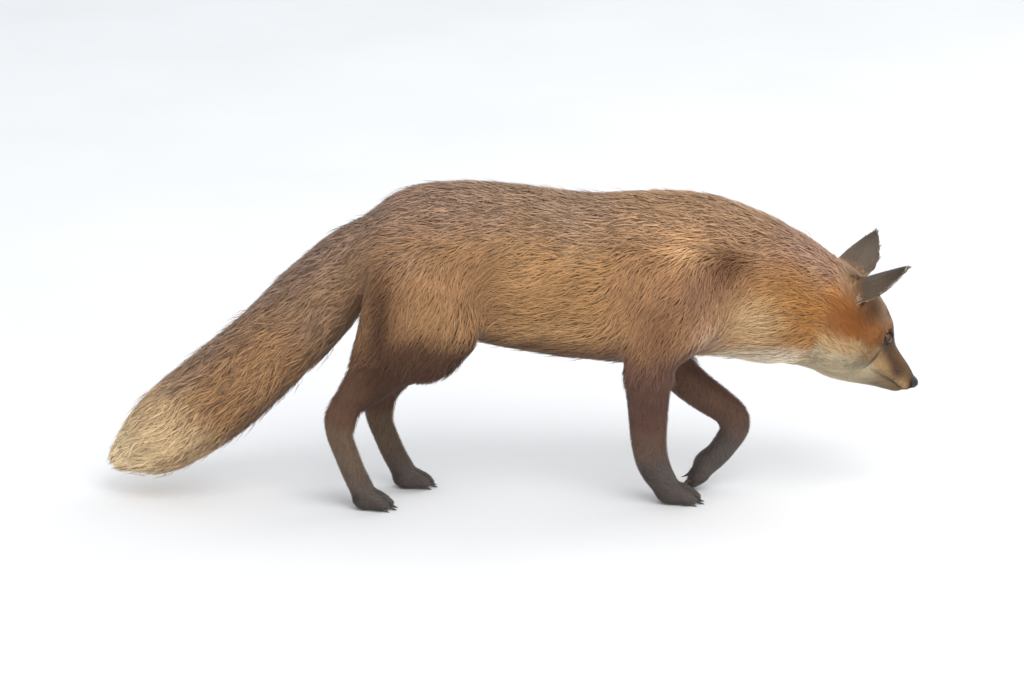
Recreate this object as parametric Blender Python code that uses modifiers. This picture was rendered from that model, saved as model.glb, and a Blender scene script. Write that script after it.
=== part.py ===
"""A life-size red fox that stalks with its head low, one fore paw bent under it and its brush trailing.

Every solid is the outer form of the animal in winter coat, out to the tips of the hair.
The fox faces +X with its left side towards +Y, and its paws stand on z = 0. Lengths are in metres.
The body is modelled whole from lofted and rounded forms, and then parted by thin plane cuts.
"""

import math

import bmesh
import bpy
import numpy as np
from mathutils import Matrix, Vector

# ---------------------------------------------------------------- driving dimensions
GAP = 0.0003  # the clear joint between two solids that meet
VOXEL = 0.003  # grid of the remesh that melts the body's forms into one
SMOOTHING = 0.5
SMOOTHING_ROUNDS = 5
BODY_TRIANGLES = 16000  # the whole body before it is parted
STEPS = 4  # rings from one station of a loft to the next
SIDES = 32
DOME_RINGS = (35, 65)  # degrees round the domed end of a loft where it gets a ring

# Nose tip and the way the head points: nose down, turned a little to its left.
NOSE_TIP = Vector((0.452, 0.026, 0.126))
HEAD_PITCH = math.radians(45)
HEAD_YAW = math.radians(13)

# Features of the head in its own axes: ahead of the nose tip, to its left, towards its crown.
EYE = Vector((-0.0782, 0.0228, 0.0148))
EYE_RADIUS = 0.0085
NOSE = Vector((-0.0055, 0.0, 0.0000))
NOSE_HALF_SIZES = (0.0080, 0.0096, 0.0074)
EAR_ROOT = Vector((-0.146, 0.030, 0.031))
# The way each ear stands and opens, as if both were left ears: the right one is turned out and forwards.
EAR_LEFT = (Vector((0.13, 0.50, 0.855)).normalized(), Vector((0.88, 0.34, -0.30)))
EAR_RIGHT = (Vector((0.07, 0.66, 0.75)).normalized(), Vector((0.95, 0.14, -0.20)))
EAR_CUP = 0.42  # how far the ear's edges curl forward, as a share of its half width
# The ear's outline: distance from its root, half width and half thickness.
EAR = [
    (0.000, 0.0200, 0.0110),
    (0.018, 0.0260, 0.0085),
    (0.036, 0.0265, 0.0060),
    (0.050, 0.0220, 0.0045),
    (0.062, 0.0150, 0.0035),
    (0.072, 0.0075, 0.0025),
    (0.078, 0.0020, 0.0014),
]

# The trunk's outline: x, z, half height and half width.
TRUNK = [
    (-0.188, 0.290, 0.026, 0.028),
    (-0.172, 0.287, 0.045, 0.048),
    (-0.140, 0.285, 0.066, 0.064),
    (-0.100, 0.286, 0.081, 0.072),
    (-0.050, 0.281, 0.089, 0.075),
    (0.000, 0.2725, 0.093, 0.075),
    (0.045, 0.2655, 0.094, 0.076),
    (0.085, 0.2605, 0.095, 0.078),
    (0.130, 0.2595, 0.098, 0.081),
    (0.180, 0.2625, 0.096, 0.082),
    (0.213, 0.2620, 0.091, 0.079),
    (0.252, 0.2515, 0.0850, 0.075),
    (0.285, 0.2395, 0.0795, 0.070),
    (0.317, 0.2275, 0.0735, 0.066),
    (0.345, 0.2140, 0.0660, 0.060),
    (0.368, 0.1980, 0.0560, 0.050),
]
# The brush: x, z and radius. It swings slowly to the fox's left.
TAIL = [
    (-0.150, 0.311, 0.026),
    (-0.180, 0.284, 0.037),
    (-0.205, 0.248, 0.048),
    (-0.238, 0.212, 0.0510),
    (-0.270, 0.180, 0.0500),
    (-0.302, 0.150, 0.0510),
    (-0.335, 0.121, 0.0520),
    (-0.368, 0.095, 0.0510),
    (-0.400, 0.070, 0.0450),
    (-0.424, 0.056, 0.0350),
    (-0.438, 0.050, 0.0240),
]
TAIL_SWING = 0.02

# The skull's and the lower jaw's outline: distance behind the nose tip, half width, top and bottom.
SKULL = [
    (0.009, 0.0100, 0.0080, -0.0120),
    (0.025, 0.0135, 0.0125, -0.0150),
    (0.042, 0.0165, 0.0155, -0.0165),
    (0.058, 0.0205, 0.0195, -0.0185),
    (0.070, 0.0260, 0.0270, -0.0210),
    (0.082, 0.0335, 0.0360, -0.0250),
    (0.095, 0.0420, 0.0430, -0.0310),
    (0.110, 0.0490, 0.0480, -0.0390),
    (0.128, 0.0545, 0.0500, -0.0470),
    (0.146, 0.0560, 0.0480, -0.0520),
    (0.168, 0.0520, 0.0400, -0.0520),
]
JAW = [
    (0.014, 0.0065, -0.0120, -0.0220),
    (0.024, 0.0095, -0.0100, -0.0265),
    (0.042, 0.0130, -0.0100, -0.0350),
    (0.062, 0.0200, -0.0080, -0.0465),
    (0.085, 0.0310, -0.0080, -0.0590),
    (0.105, 0.0390, -0.0120, -0.0670),
    (0.128, 0.0400, -0.0200, -0.0700),
]
# Rounded forms on each side of the head: place and half sizes in its own axes, and degrees turned outwards.
HEAD_FORMS = [
    ((-0.124, 0.036, -0.021), (0.046, 0.032, 0.040), 22),  # cheek ruff
    ((-0.092, 0.028, -0.004), (0.026, 0.012, 0.017), 26),  # cheekbone
    ((-0.088, 0.020, 0.0285), (0.014, 0.011, 0.007), 20),  # brow
    ((-0.020, 0.0080, -0.0065), (0.017, 0.0070, 0.0085), 6),  # whisker pad
]

# Limbs from the top down: x, y, z, half width across the animal and half depth along it.
FORELEG_RIGHT = [
    (0.178, -0.038, 0.318, 0.018, 0.030),
    (0.188, -0.060, 0.284, 0.025, 0.044),
    (0.190, -0.064, 0.244, 0.027, 0.046),
    (0.168, -0.061, 0.212, 0.025, 0.041),
    (0.152, -0.055, 0.184, 0.0230, 0.0310),
    (0.149, -0.046, 0.150, 0.0205, 0.0270),
    (0.1495, -0.036, 0.110, 0.0180, 0.0235),
    (0.151, -0.027, 0.072, 0.0170, 0.0210),
    (0.158, -0.020, 0.042, 0.0170, 0.0185),
    (0.171, -0.016, 0.020, 0.0175, 0.0155),
]
FORELEG_LEFT = [
    (0.178, 0.038, 0.318, 0.018, 0.030),
    (0.192, 0.060, 0.284, 0.025, 0.044),
    (0.202, 0.064, 0.244, 0.027, 0.046),
    (0.184, 0.061, 0.206, 0.025, 0.040),
    (0.168, 0.055, 0.172, 0.0225, 0.0300),
    (0.186, 0.048, 0.136, 0.0200, 0.0235),
    (0.216, 0.042, 0.111, 0.0180, 0.0215),
    (0.243, 0.038, 0.093, 0.0165, 0.0190),
    (0.2525, 0.036, 0.078, 0.0160, 0.0175),
    (0.242, 0.036, 0.057, 0.0150, 0.0155),
    (0.229, 0.036, 0.039, 0.0155, 0.0140),
    (0.219, 0.036, 0.026, 0.0150, 0.0105),
]
THIGH_RIGHT = [
    (-0.112, -0.034, 0.306, 0.024, 0.034),
    (-0.110, -0.054, 0.272, 0.031, 0.054),
    (-0.107, -0.062, 0.232, 0.030, 0.064),
    (-0.112, -0.062, 0.206, 0.026, 0.063),
    (-0.119, -0.060, 0.190, 0.023, 0.052),
    (-0.130, -0.057, 0.180, 0.017, 0.037),
]
STRIDE = 0.008  # how far the left thigh stands ahead of the right one
THIGH_LEFT = [(x + STRIDE, -y, z, across, along) for x, y, z, across, along in THIGH_RIGHT]
HINDLEG_RIGHT = [
    (-0.058, -0.062, 0.207, 0.0200, 0.0235),
    (-0.090, -0.062, 0.196, 0.0215, 0.0245),
    (-0.128, -0.057, 0.174, 0.0190, 0.0250),
    (-0.161, -0.050, 0.147, 0.0155, 0.0225),
    (-0.189, -0.045, 0.121, 0.0135, 0.0180),
    (-0.197, -0.043, 0.098, 0.0130, 0.0160),
    (-0.189, -0.041, 0.070, 0.0130, 0.0150),
    (-0.179, -0.039, 0.042, 0.0140, 0.0145),
    (-0.169, -0.037, 0.020, 0.0160, 0.0140),
]
HINDLEG_LEFT = [
    (-0.050, 0.062, 0.207, 0.0200, 0.0235),
    (-0.078, 0.062, 0.193, 0.0215, 0.0245),
    (-0.103, 0.057, 0.166, 0.0190, 0.0250),
    (-0.129, 0.051, 0.137, 0.0155, 0.0215),
    (-0.150, 0.047, 0.111, 0.0135, 0.0180),
    (-0.155, 0.045, 0.089, 0.0130, 0.0160),
    (-0.146, 0.044, 0.062, 0.0130, 0.0150),
    (-0.136, 0.043, 0.038, 0.0140, 0.0145),
    (-0.126, 0.042, 0.020, 0.0160, 0.0140),
]
# The sinews behind each shank, from the back of the thigh to the hock's point.
HAMSTRINGS = [
    [
        (-0.140, -0.058, 0.222, 0.0220, 0.0320),
        (-0.150, -0.056, 0.196, 0.0200, 0.0280),
        (-0.159, -0.053, 0.170, 0.0175, 0.0240),
        (-0.177, -0.049, 0.145, 0.0145, 0.0190),
        (-0.195, -0.045, 0.122, 0.0115, 0.0135),
    ],
    [
        (-0.132, 0.058, 0.222, 0.0220, 0.0320),
        (-0.138, 0.056, 0.194, 0.0200, 0.0270),
        (-0.140, 0.053, 0.165, 0.0175, 0.0220),
        (-0.150, 0.050, 0.138, 0.0145, 0.0175),
        (-0.160, 0.047, 0.112, 0.0115, 0.0135),
    ],
]
FORELEGS = (FORELEG_RIGHT, FORELEG_LEFT)
THIGHS = (THIGH_RIGHT, THIGH_LEFT)
HINDLEGS = (HINDLEG_RIGHT, HINDLEG_LEFT)
# Each hock: its point behind, the ankle's middle, the point's radius, and the ankle's half sizes.
HOCKS = [
    ((-0.203, -0.044, 0.118), (-0.187, -0.043, 0.104), 0.0105, (0.0137, 0.0158)),
    ((-0.168, 0.046, 0.110), (-0.148, 0.045, 0.094), 0.0105, (0.0137, 0.0158)),
]

# The cuts across the middle of the body, in their order: what is cut, the parts ahead of and behind the cut,
# its centre, the way it faces, and its reach sideways and upwards.
BODY_CUTS = [
    ("body", "head", "body", (0.345, 0.001, 0.226), (0.92, 0.10, -0.38), (0.090, 0.110)),
    ("body", "tail", "body", (-0.168, 0, 0.262), (-0.98, 0, 0.20), (0.085, 0.095)),
    ("tail", "tail_outer", "tail_base", (-0.255, 0, 0.195), (-0.72, 0, -0.69), (0.080, 0.080)),
    ("tail_outer", "tail_tip", "tail_middle", (-0.362, 0.01, 0.100), (-0.80, 0.05, -0.60), (0.080, 0.080)),
    ("body", "fore", "body", (0.104, 0, 0.26), (1, 0, 0), (0.120, 0.130)),
    ("body", "trunk", "rump", (-0.020, 0, 0.26), (1, 0, 0), (0.120, 0.130)),
    ("fore", "neck", "chest", (0.262, 0, 0.26), (0.88, 0, -0.47), (0.120, 0.120)),
]
# The cuts down each limb: the upper part, the lower part, the cut's centre, the way it faces and its reach.
LIMB_CUTS = [
    ("rump", "shank_right", (-0.105, -0.066, 0.182), (-0.12, 0, -1), (0.056, 0.090)),
    ("shank_right", "metatarsus_right", (-0.192, -0.045, 0.108), (-0.34, 0, -0.94), (0.030, 0.040)),
    ("metatarsus_right", "hind_paw_right", (-0.171, -0.038, 0.031), (0.30, 0, -0.95), (0.030, 0.040)),
    ("rump", "thigh_right", (-0.110, -0.050, 0.250), (0, -0.94, -0.34), (0.120, 0.120)),
    ("rump", "shank_left", (-0.090, 0.066, 0.182), (-0.12, 0, -1), (0.056, 0.090)),
    ("shank_left", "metatarsus_left", (-0.150, 0.045, 0.098), (-0.34, 0, -0.94), (0.030, 0.040)),
    ("metatarsus_left", "hind_paw_left", (-0.131, 0.043, 0.031), (0.30, 0, -0.95), (0.030, 0.040)),
    ("rump", "thigh_left", (-0.110, 0.050, 0.250), (0, 0.94, -0.34), (0.120, 0.120)),
    ("chest", "forearm_right", (0.152, -0.055, 0.160), (0, 0, -1), (0.045, 0.070)),
    ("forearm_right", "fore_paw_right", (0.155, -0.024, 0.052), (0.20, 0, -0.98), (0.040, 0.040)),
    ("chest", "shoulder_right", (0.190, -0.052, 0.250), (0, -0.93, -0.37), (0.120, 0.120)),
    ("chest", "forearm_left", (0.175, 0.052, 0.160), (0, 0, -1), (0.045, 0.070)),
    ("forearm_left", "fore_paw_left", (0.246, 0.036, 0.066), (-0.50, 0, -0.86), (0.040, 0.040)),
    ("chest", "shoulder_left", (0.190, 0.052, 0.250), (0, 0.93, -0.37), (0.120, 0.120)),
]

# Paws: middle of the main pad, degrees turned to the left, degrees tipped nose down, and scale.
PAWS = {
    "fore_paw_right": (Vector((0.1790, -0.0150, 0.0125)), -3, 0, 1.0),
    "fore_paw_left": (Vector((0.2165, 0.0360, 0.0275)), 2, 116, 1.0),
    "hind_paw_right": (Vector((-0.1640, -0.0360, 0.0118)), -5, 0, 0.93),
    "hind_paw_left": (Vector((-0.1205, 0.0420, 0.0118)), 6, 0, 0.93),
}
PAD_PLACE = (-0.002, 0, -0.001)
PAD_HALF_SIZES = (0.020, 0.0175, 0.0140)
# Toes across the paw: sideways place, reach ahead of the main pad, degrees spread.
TOES = [(-0.0128, 0.016, 11), (-0.0046, 0.024, 3), (0.0046, 0.024, -3), (0.0128, 0.016, -11)]
TOE_RADIUS = 0.0078
TOE_END_HALF_SIZES = (0.0082, 0.0074, 0.0074)
TOE_TIP_HEIGHT = -0.0055  # above the middle of the main pad
TOE_ROOT = (0.004, 0.0015)  # ahead of and above the middle of the main pad
TOE_ROOT_CLOSENESS = 0.8  # the roots stand this much closer together than the tips
KNUCKLE_RISE = 0.0035
CLAW_LENGTH = 0.009
CLAW_RADIUS = 0.0020
CLAW_TIP_RADIUS = 0.0006
CLAW_DROOP = 24  # degrees below the paw's own level
CLAW_SEAT = (0.55, 0.25)  # ahead of and above the toe's tip, as shares of its radius
CLAW_SIDES = 6

# Colour and roughness of each kind of surface.
SURFACES = {
    "russet_fur": ((0.36, 0.165, 0.055), 0.85),
    "dark_fur": ((0.030, 0.022, 0.018), 0.80),
    "cream_fur": ((0.62, 0.50, 0.36), 0.85),
    "grizzled_fur": ((0.25, 0.135, 0.065), 0.85),
    "nose_leather": ((0.012, 0.011, 0.011), 0.40),
    "eye_gloss": ((0.10, 0.045, 0.010), 0.05),
}
# The parts of flesh, with the triangles each is thinned to and its kind of surface.
PARTS = {
    "head": (1200, "russet_fur"),
    "neck": (370, "russet_fur"),
    "chest": (410, "russet_fur"),
    "trunk": (380, "russet_fur"),
    "rump": (430, "grizzled_fur"),
    "tail_base": (280, "grizzled_fur"),
    "tail_middle": (300, "grizzled_fur"),
    "tail_tip": (300, "cream_fur"),
    "shoulder": (320, "russet_fur"),
    "forearm": (240, "dark_fur"),
    "fore_paw": (350, "dark_fur"),
    "thigh": (320, "russet_fur"),
    "shank": (260, "russet_fur"),
    "metatarsus": (170, "dark_fur"),
    "hind_paw": (310, "dark_fur"),
}
OWN_SURFACES = {"ear": "dark_fur", "eye": "eye_gloss", "nose": "nose_leather"}
SHARP_ANGLE = math.radians(50)
EYE_SEGMENTS = 12
NOSE_SEGMENTS = 12
EAR_SIDES = 10
EAR_STEPS = 2


# ---------------------------------------------------------------- frames
def axes_matrix(origin, forward, left):
    """A frame whose +x points forward, +y to the left and +z up from both."""
    turn = Matrix((forward, left, forward.cross(left))).transposed()
    return Matrix.Translation(origin) @ turn.to_4x4()


def head_axes():
    """The head's own frame, with its origin at the nose tip."""
    ahead = Vector((math.cos(HEAD_YAW), math.sin(HEAD_YAW), 0))
    left = Vector((-math.sin(HEAD_YAW), math.cos(HEAD_YAW), 0))
    return axes_matrix(NOSE_TIP, ahead * math.cos(HEAD_PITCH) - Vector((0, 0, math.sin(HEAD_PITCH))), left)


def paw_axes(place, heading, tip, scale):
    turn = Matrix.Rotation(math.radians(heading), 4, "Z") @ Matrix.Rotation(math.radians(tip), 4, "Y")
    return Matrix.Translation(place) @ turn @ Matrix.Scale(scale, 4)


def mirrored(place, side):
    """The same place in the head's axes on the left side (+1) or the right side (-1)."""
    return Vector((place[0], side * place[1], place[2]))


# ---------------------------------------------------------------- modelling tools
def smooth_path(stations, steps):
    """A Catmull-Rom curve through every column of the stations at once."""
    rows = np.array(stations, float)
    padded = np.vstack([2 * rows[0] - rows[1], rows, 2 * rows[-1] - rows[-2]])
    path = []
    for i in range(len(rows) - 1):
        a, b, c, d = padded[i : i + 4]
        for t in np.arange(steps) / steps:
            bend = (2 * a - 5 * b + 4 * c - d) * t**2 + (3 * b - a - 3 * c + d) * t**3
            path.append(0.5 * (2 * b + (c - a) * t + bend))
    path.append(rows[-1])
    return np.array(path)


def domed(path):
    """The same path with a rounded end beyond its first and last rings."""
    ends = []
    for end, inner in ((path[0], path[1]), (path[-1], path[-2])):
        outwards = (end[:3] - inner[:3]) / np.linalg.norm(end[:3] - inner[:3])
        dome = []
        for turn in np.radians(DOME_RINGS):
            place = end[:3] + outwards * min(end[3:]) * math.sin(turn)
            dome.append(np.array([*place, *(end[3:] * math.cos(turn))]))
        ends.append(dome)
    return np.array(ends[0][::-1] + list(path) + ends[1])


def loft(form, stations, across=Vector((0, 1, 0)), steps=STEPS, sides=SIDES, cup=0.0):
    """Adds a closed tube of elliptical rings along stations of x, y, z, half width and half depth.

    The widths lie along `across`. A cup bends each ring's two edges forward by that share of its half width.
    """
    path = smooth_path(stations, steps)
    if not cup:
        path = domed(path)
    rings = []
    for i, row in enumerate(path):
        centre = Vector(row[:3])
        tangent = Vector(path[min(i + 1, len(path) - 1)][:3] - path[max(i - 1, 0)][:3]).normalized()
        side = (across - tangent * tangent.dot(across)).normalized()
        lift = tangent.cross(side)
        ring = []
        for turn in np.linspace(0, 2 * math.pi, sides, endpoint=False):
            depth = row[4] * math.sin(turn) + cup * row[3] * math.cos(turn) ** 2
            ring.append(form.verts.new(centre + side * row[3] * math.cos(turn) + lift * depth))
        rings.append(ring)
    for first, second in zip(rings, rings[1:]):
        for i in range(sides):
            form.faces.new((first[i - 1], first[i], second[i], second[i - 1]))
    form.faces.new(rings[0])
    form.faces.new(rings[-1][::-1])


def ellipsoid(form, axes, place, half_sizes, degrees_out=0, segments=24):
    """Adds an ellipsoid with its own half sizes, turned about the frame's upright axis."""
    turn = Matrix.Rotation(math.radians(degrees_out), 4, "Z")
    shape = axes @ Matrix.Translation(place) @ turn @ Matrix.Diagonal((*half_sizes, 1))
    rings = segments * 2 // 3
    bmesh.ops.create_uvsphere(form, u_segments=segments, v_segments=rings, radius=1.0, matrix=shape)


def mesh_object(name, form):
    """Turns a bmesh into an object with all faces pointing out."""
    bmesh.ops.recalc_face_normals(form, faces=form.faces)
    mesh = bpy.data.meshes.new(name)
    form.to_mesh(mesh)
    form.free()
    made = bpy.data.objects.new(name, mesh)
    bpy.context.scene.collection.objects.link(made)
    return made


def modifier(target, kind, **settings):
    made = target.modifiers.new(kind.title(), kind)
    for name, value in settings.items():
        setattr(made, name, value)
    return made


def apply_modifiers(target):
    """Bakes the modifier stack into the mesh."""
    bpy.context.view_layer.update()
    graph = bpy.context.evaluated_depsgraph_get()
    mesh = bpy.data.meshes.new_from_object(target.evaluated_get(graph))
    target.modifiers.clear()
    target.data = mesh


def combine(target, tool, operation):
    """Joins or cuts with a helper object, which is then removed."""
    modifier(target, "BOOLEAN", object=tool, operation=operation, solver="EXACT")
    apply_modifiers(target)
    bpy.data.objects.remove(tool)


def thin_out(piece, triangles):
    """Decimates a piece down to its share of the triangles."""
    modifier(piece, "TRIANGULATE")
    apply_modifiers(piece)
    modifier(piece, "DECIMATE", ratio=min(1.0, triangles / len(piece.data.polygons)))
    apply_modifiers(piece)


def stand(piece):
    """Cuts a paw flat where it meets the floor."""
    form = bmesh.new()
    form.from_mesh(piece.data)
    everything = form.verts[:] + form.edges[:] + form.faces[:]
    bmesh.ops.bisect_plane(form, geom=everything, plane_co=(0, 0, 0), plane_no=(0, 0, 1), clear_inner=True)
    bmesh.ops.holes_fill(form, edges=[edge for edge in form.edges if edge.is_boundary])
    bmesh.ops.triangulate(form, faces=form.faces[:])
    form.to_mesh(piece.data)
    form.free()


def islands(form):
    """The separate bodies in a form, each as its set of vertices."""
    left = set(form.verts)
    found = []
    while left:
        body = set()
        waiting = [left.pop()]
        while waiting:
            vertex = waiting.pop()
            body.add(vertex)
            fresh = {edge.other_vert(vertex) for edge in vertex.link_edges} & left
            left -= fresh
            waiting += fresh
        found.append(body)
    return found


def part(pieces, source, ahead, behind, centre, normal, reach):
    """Parts a piece in two with a thin slab, which reaches that far from its centre sideways and upwards."""
    whole = pieces.pop(source)
    normal = Vector(normal).normalized()
    turn = normal.to_track_quat("X", "Z").to_matrix().to_4x4()
    slab = bmesh.new()
    sizes = Matrix.Diagonal((GAP, 2 * reach[0], 2 * reach[1], 1))
    bmesh.ops.create_cube(slab, size=1.0, matrix=Matrix.Translation(centre) @ turn @ sizes)
    combine(whole, mesh_object("slab", slab), "DIFFERENCE")
    for name, pick in ((ahead, max), (behind, min)):
        form = bmesh.new()
        form.from_mesh(whole.data)
        kept = pick(islands(form), key=lambda body: np.mean([normal.dot(vertex.co) for vertex in body]))
        bmesh.ops.delete(form, geom=[vertex for vertex in form.verts if vertex not in kept], context="VERTS")
        pieces[name] = mesh_object(name, form)
    bpy.data.objects.remove(whole)


# ---------------------------------------------------------------- the body's forms
def add_head(form):
    axes = head_axes()
    across = axes.to_3x3() @ Vector((0, 1, 0))
    for stations in (SKULL, JAW):
        rows = []
        for back, half_width, top, bottom in stations:
            middle = axes @ Vector((-back, 0, (top + bottom) / 2))
            rows.append((*middle, half_width, (top - bottom) / 2))
        loft(form, rows, across)
    for place, half_sizes, degrees_out in HEAD_FORMS:
        for side in (-1, 1):
            ellipsoid(form, axes, mirrored(place, side), half_sizes, -side * degrees_out)


def toe_tip(sideways, reach):
    return Vector((reach, sideways, TOE_TIP_HEIGHT))


def add_paw(form, axes):
    """The main pad and four toes, each of them arched over its knuckle."""
    scale = axes.to_scale()[0]
    across = (axes.to_3x3() @ Vector((0, 1, 0))).normalized()
    ellipsoid(form, axes, PAD_PLACE, PAD_HALF_SIZES)
    for sideways, reach, spread in TOES:
        root = Vector((TOE_ROOT[0], sideways * TOE_ROOT_CLOSENESS, TOE_ROOT[1]))
        tip = toe_tip(sideways, reach)
        knuckle = (root + tip) / 2 + Vector((0, 0, KNUCKLE_RISE))
        rows = [(*(axes @ point), TOE_RADIUS * scale, TOE_RADIUS * scale) for point in (root, knuckle, tip)]
        loft(form, rows, across)
        ellipsoid(form, axes, tip, TOE_END_HALF_SIZES, -spread)


def claws(name, axes):
    """Four short blunt claws, one at the end of each toe."""
    form = bmesh.new()
    for sideways, reach, spread in TOES:
        root = toe_tip(sideways, reach) + Vector((CLAW_SEAT[0], 0, CLAW_SEAT[1])) * TOE_RADIUS
        outwards = Matrix.Rotation(math.radians(-spread), 4, "Z")
        down = Matrix.Rotation(math.radians(90 + CLAW_DROOP), 4, "Y")
        middle = Matrix.Translation((0, 0, CLAW_LENGTH / 2))
        bmesh.ops.create_cone(
            form,
            cap_ends=True,
            segments=CLAW_SIDES,
            radius1=CLAW_RADIUS,
            radius2=CLAW_TIP_RADIUS,
            depth=CLAW_LENGTH,
            matrix=axes @ Matrix.Translation(root) @ outwards @ down @ middle,
        )
    return mesh_object(name + "_claws", form)


def whole_body():
    """Every form of the head, neck, trunk, limbs and brush, melted into one skin of few triangles."""
    form = bmesh.new()
    loft(form, [(x, 0, z, across, up) for x, z, up, across in TRUNK])
    root, tip = TAIL[0][0], TAIL[-1][0]
    loft(form, [(x, TAIL_SWING * ((root - x) / (root - tip)) ** 2, z, r, r) for x, z, r in TAIL])
    add_head(form)
    for stations in (*FORELEGS, *THIGHS, *HINDLEGS, *HAMSTRINGS):
        loft(form, stations)
    for point, ankle, radius, ankle_sizes in HOCKS:
        loft(form, [(*point, radius, radius), (*ankle, *ankle_sizes)])
    for placing in PAWS.values():
        add_paw(form, paw_axes(*placing))
    body = mesh_object("body", form)
    modifier(body, "REMESH", mode="VOXEL", voxel_size=VOXEL)
    modifier(body, "SMOOTH", factor=SMOOTHING, iterations=SMOOTHING_ROUNDS)
    apply_modifiers(body)
    thin_out(body, BODY_TRIANGLES)
    return body


# ---------------------------------------------------------------- the parts
def part_body(body):
    """Parts the whole body where its members join."""
    pieces = {"body": body}
    for cut in BODY_CUTS:
        part(pieces, *cut)
    for upper, lower, *cut in LIMB_CUTS:
        part(pieces, upper, lower, upper, *cut)
    return pieces


def kind_of(name):
    return name.removesuffix("_left").removesuffix("_right")


def rounded(name, axes, place, half_sizes, segments):
    form = bmesh.new()
    ellipsoid(form, axes, place, half_sizes, segments=segments)
    return mesh_object(name, form)


def inlay(head, name, place, half_sizes, segments):
    """A rounded piece set into the head, in a socket that clears it by the gap."""
    axes = head_axes()
    grown = [size + GAP for size in half_sizes]
    combine(head, rounded("socket", axes, place, grown, segments), "DIFFERENCE")
    return rounded(name, axes, place, half_sizes, segments)


def ear(name, side, seat):
    """A cupped leaf that opens forwards and outwards. The seat's form is cut out of its root."""
    axes = head_axes()
    turn = axes.to_3x3()
    along, front = (mirrored(way, side) for way in (EAR_LEFT if side > 0 else EAR_RIGHT))
    rows = [(*(axes @ (mirrored(EAR_ROOT, side) + along * reach)), wide, thick) for reach, wide, thick in EAR]
    form = bmesh.new()
    loft(form, rows, turn @ front.cross(along), EAR_STEPS, EAR_SIDES, EAR_CUP)
    made = mesh_object(name, form)
    combine(made, seat, "DIFFERENCE")
    return made


def swollen(piece):
    """A copy of a piece that stands proud of it by the gap all over."""
    made = bpy.data.objects.new(piece.name + "_seat", piece.data.copy())
    bpy.context.scene.collection.objects.link(made)
    modifier(made, "DISPLACE", mid_level=0.0, strength=GAP)
    apply_modifiers(made)
    return made


def surface(name):
    """The material of one kind of surface."""
    colour, roughness = SURFACES[name]
    made = bpy.data.materials.get(name) or bpy.data.materials.new(name)
    made.use_nodes = True
    shader = made.node_tree.nodes["Principled BSDF"]
    shader.inputs["Base Color"].default_value = (*colour, 1)
    shader.inputs["Roughness"].default_value = roughness
    shader.inputs["Metallic"].default_value = 0.0
    return made


def finish(pieces):
    """Gives the parts their surfaces and puts the origin under the middle of the animal's box."""
    corners = np.array([vertex.co for piece in pieces.values() for vertex in piece.data.vertices])
    middle = (corners.min(axis=0) + corners.max(axis=0)) / 2
    fox = bpy.data.collections.new("red_fox")
    bpy.context.scene.collection.children.link(fox)
    for name, piece in pieces.items():
        piece.name = piece.data.name = name
        piece.data.transform(Matrix.Translation((-middle[0], -middle[1], 0)))
        piece.data.materials.clear()
        piece.data.materials.append(surface(OWN_SURFACES.get(kind_of(name)) or PARTS[kind_of(name)][1]))
        piece.data.shade_smooth()
        piece.data.set_sharp_from_angle(angle=SHARP_ANGLE)
        bpy.context.scene.collection.objects.unlink(piece)
        fox.objects.link(piece)


def main():
    for old in list(bpy.data.objects):
        bpy.data.objects.remove(old)
    pieces = part_body(whole_body())
    for name, piece in pieces.items():
        thin_out(piece, PARTS[kind_of(name)][0])
    for name, placing in PAWS.items():
        combine(pieces[name], claws(name, paw_axes(*placing)), "UNION")
        stand(pieces[name])
    head = pieces["head"]
    pieces["ear_left"] = ear("ear_left", 1, swollen(head))
    pieces["ear_right"] = ear("ear_right", -1, swollen(head))
    pieces["eye_left"] = inlay(head, "eye_left", mirrored(EYE, 1), [EYE_RADIUS] * 3, EYE_SEGMENTS)
    pieces["eye_right"] = inlay(head, "eye_right", mirrored(EYE, -1), [EYE_RADIUS] * 3, EYE_SEGMENTS)
    pieces["nose"] = inlay(head, "nose", NOSE, NOSE_HALF_SIZES, NOSE_SEGMENTS)
    finish(pieces)


main()
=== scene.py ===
"""The looks of a life-size red fox that stalks with its head low, one fore paw bent and its brush trailing.

One skin stands for all the flesh and lies inside it by the depth of the coat. The coat is solid mesh: thin
pointed tufts that grow from the skin, follow the lie of the hair and end at the animal's outline. Eyes, lid
rims, nose, whiskers and claws are pieces of their own. Lengths are in metres, and the fox faces +X.
"""

import math

import bmesh
import bpy
import numpy as np
from mathutils import Matrix, Vector
from mathutils.kdtree import KDTree


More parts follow.
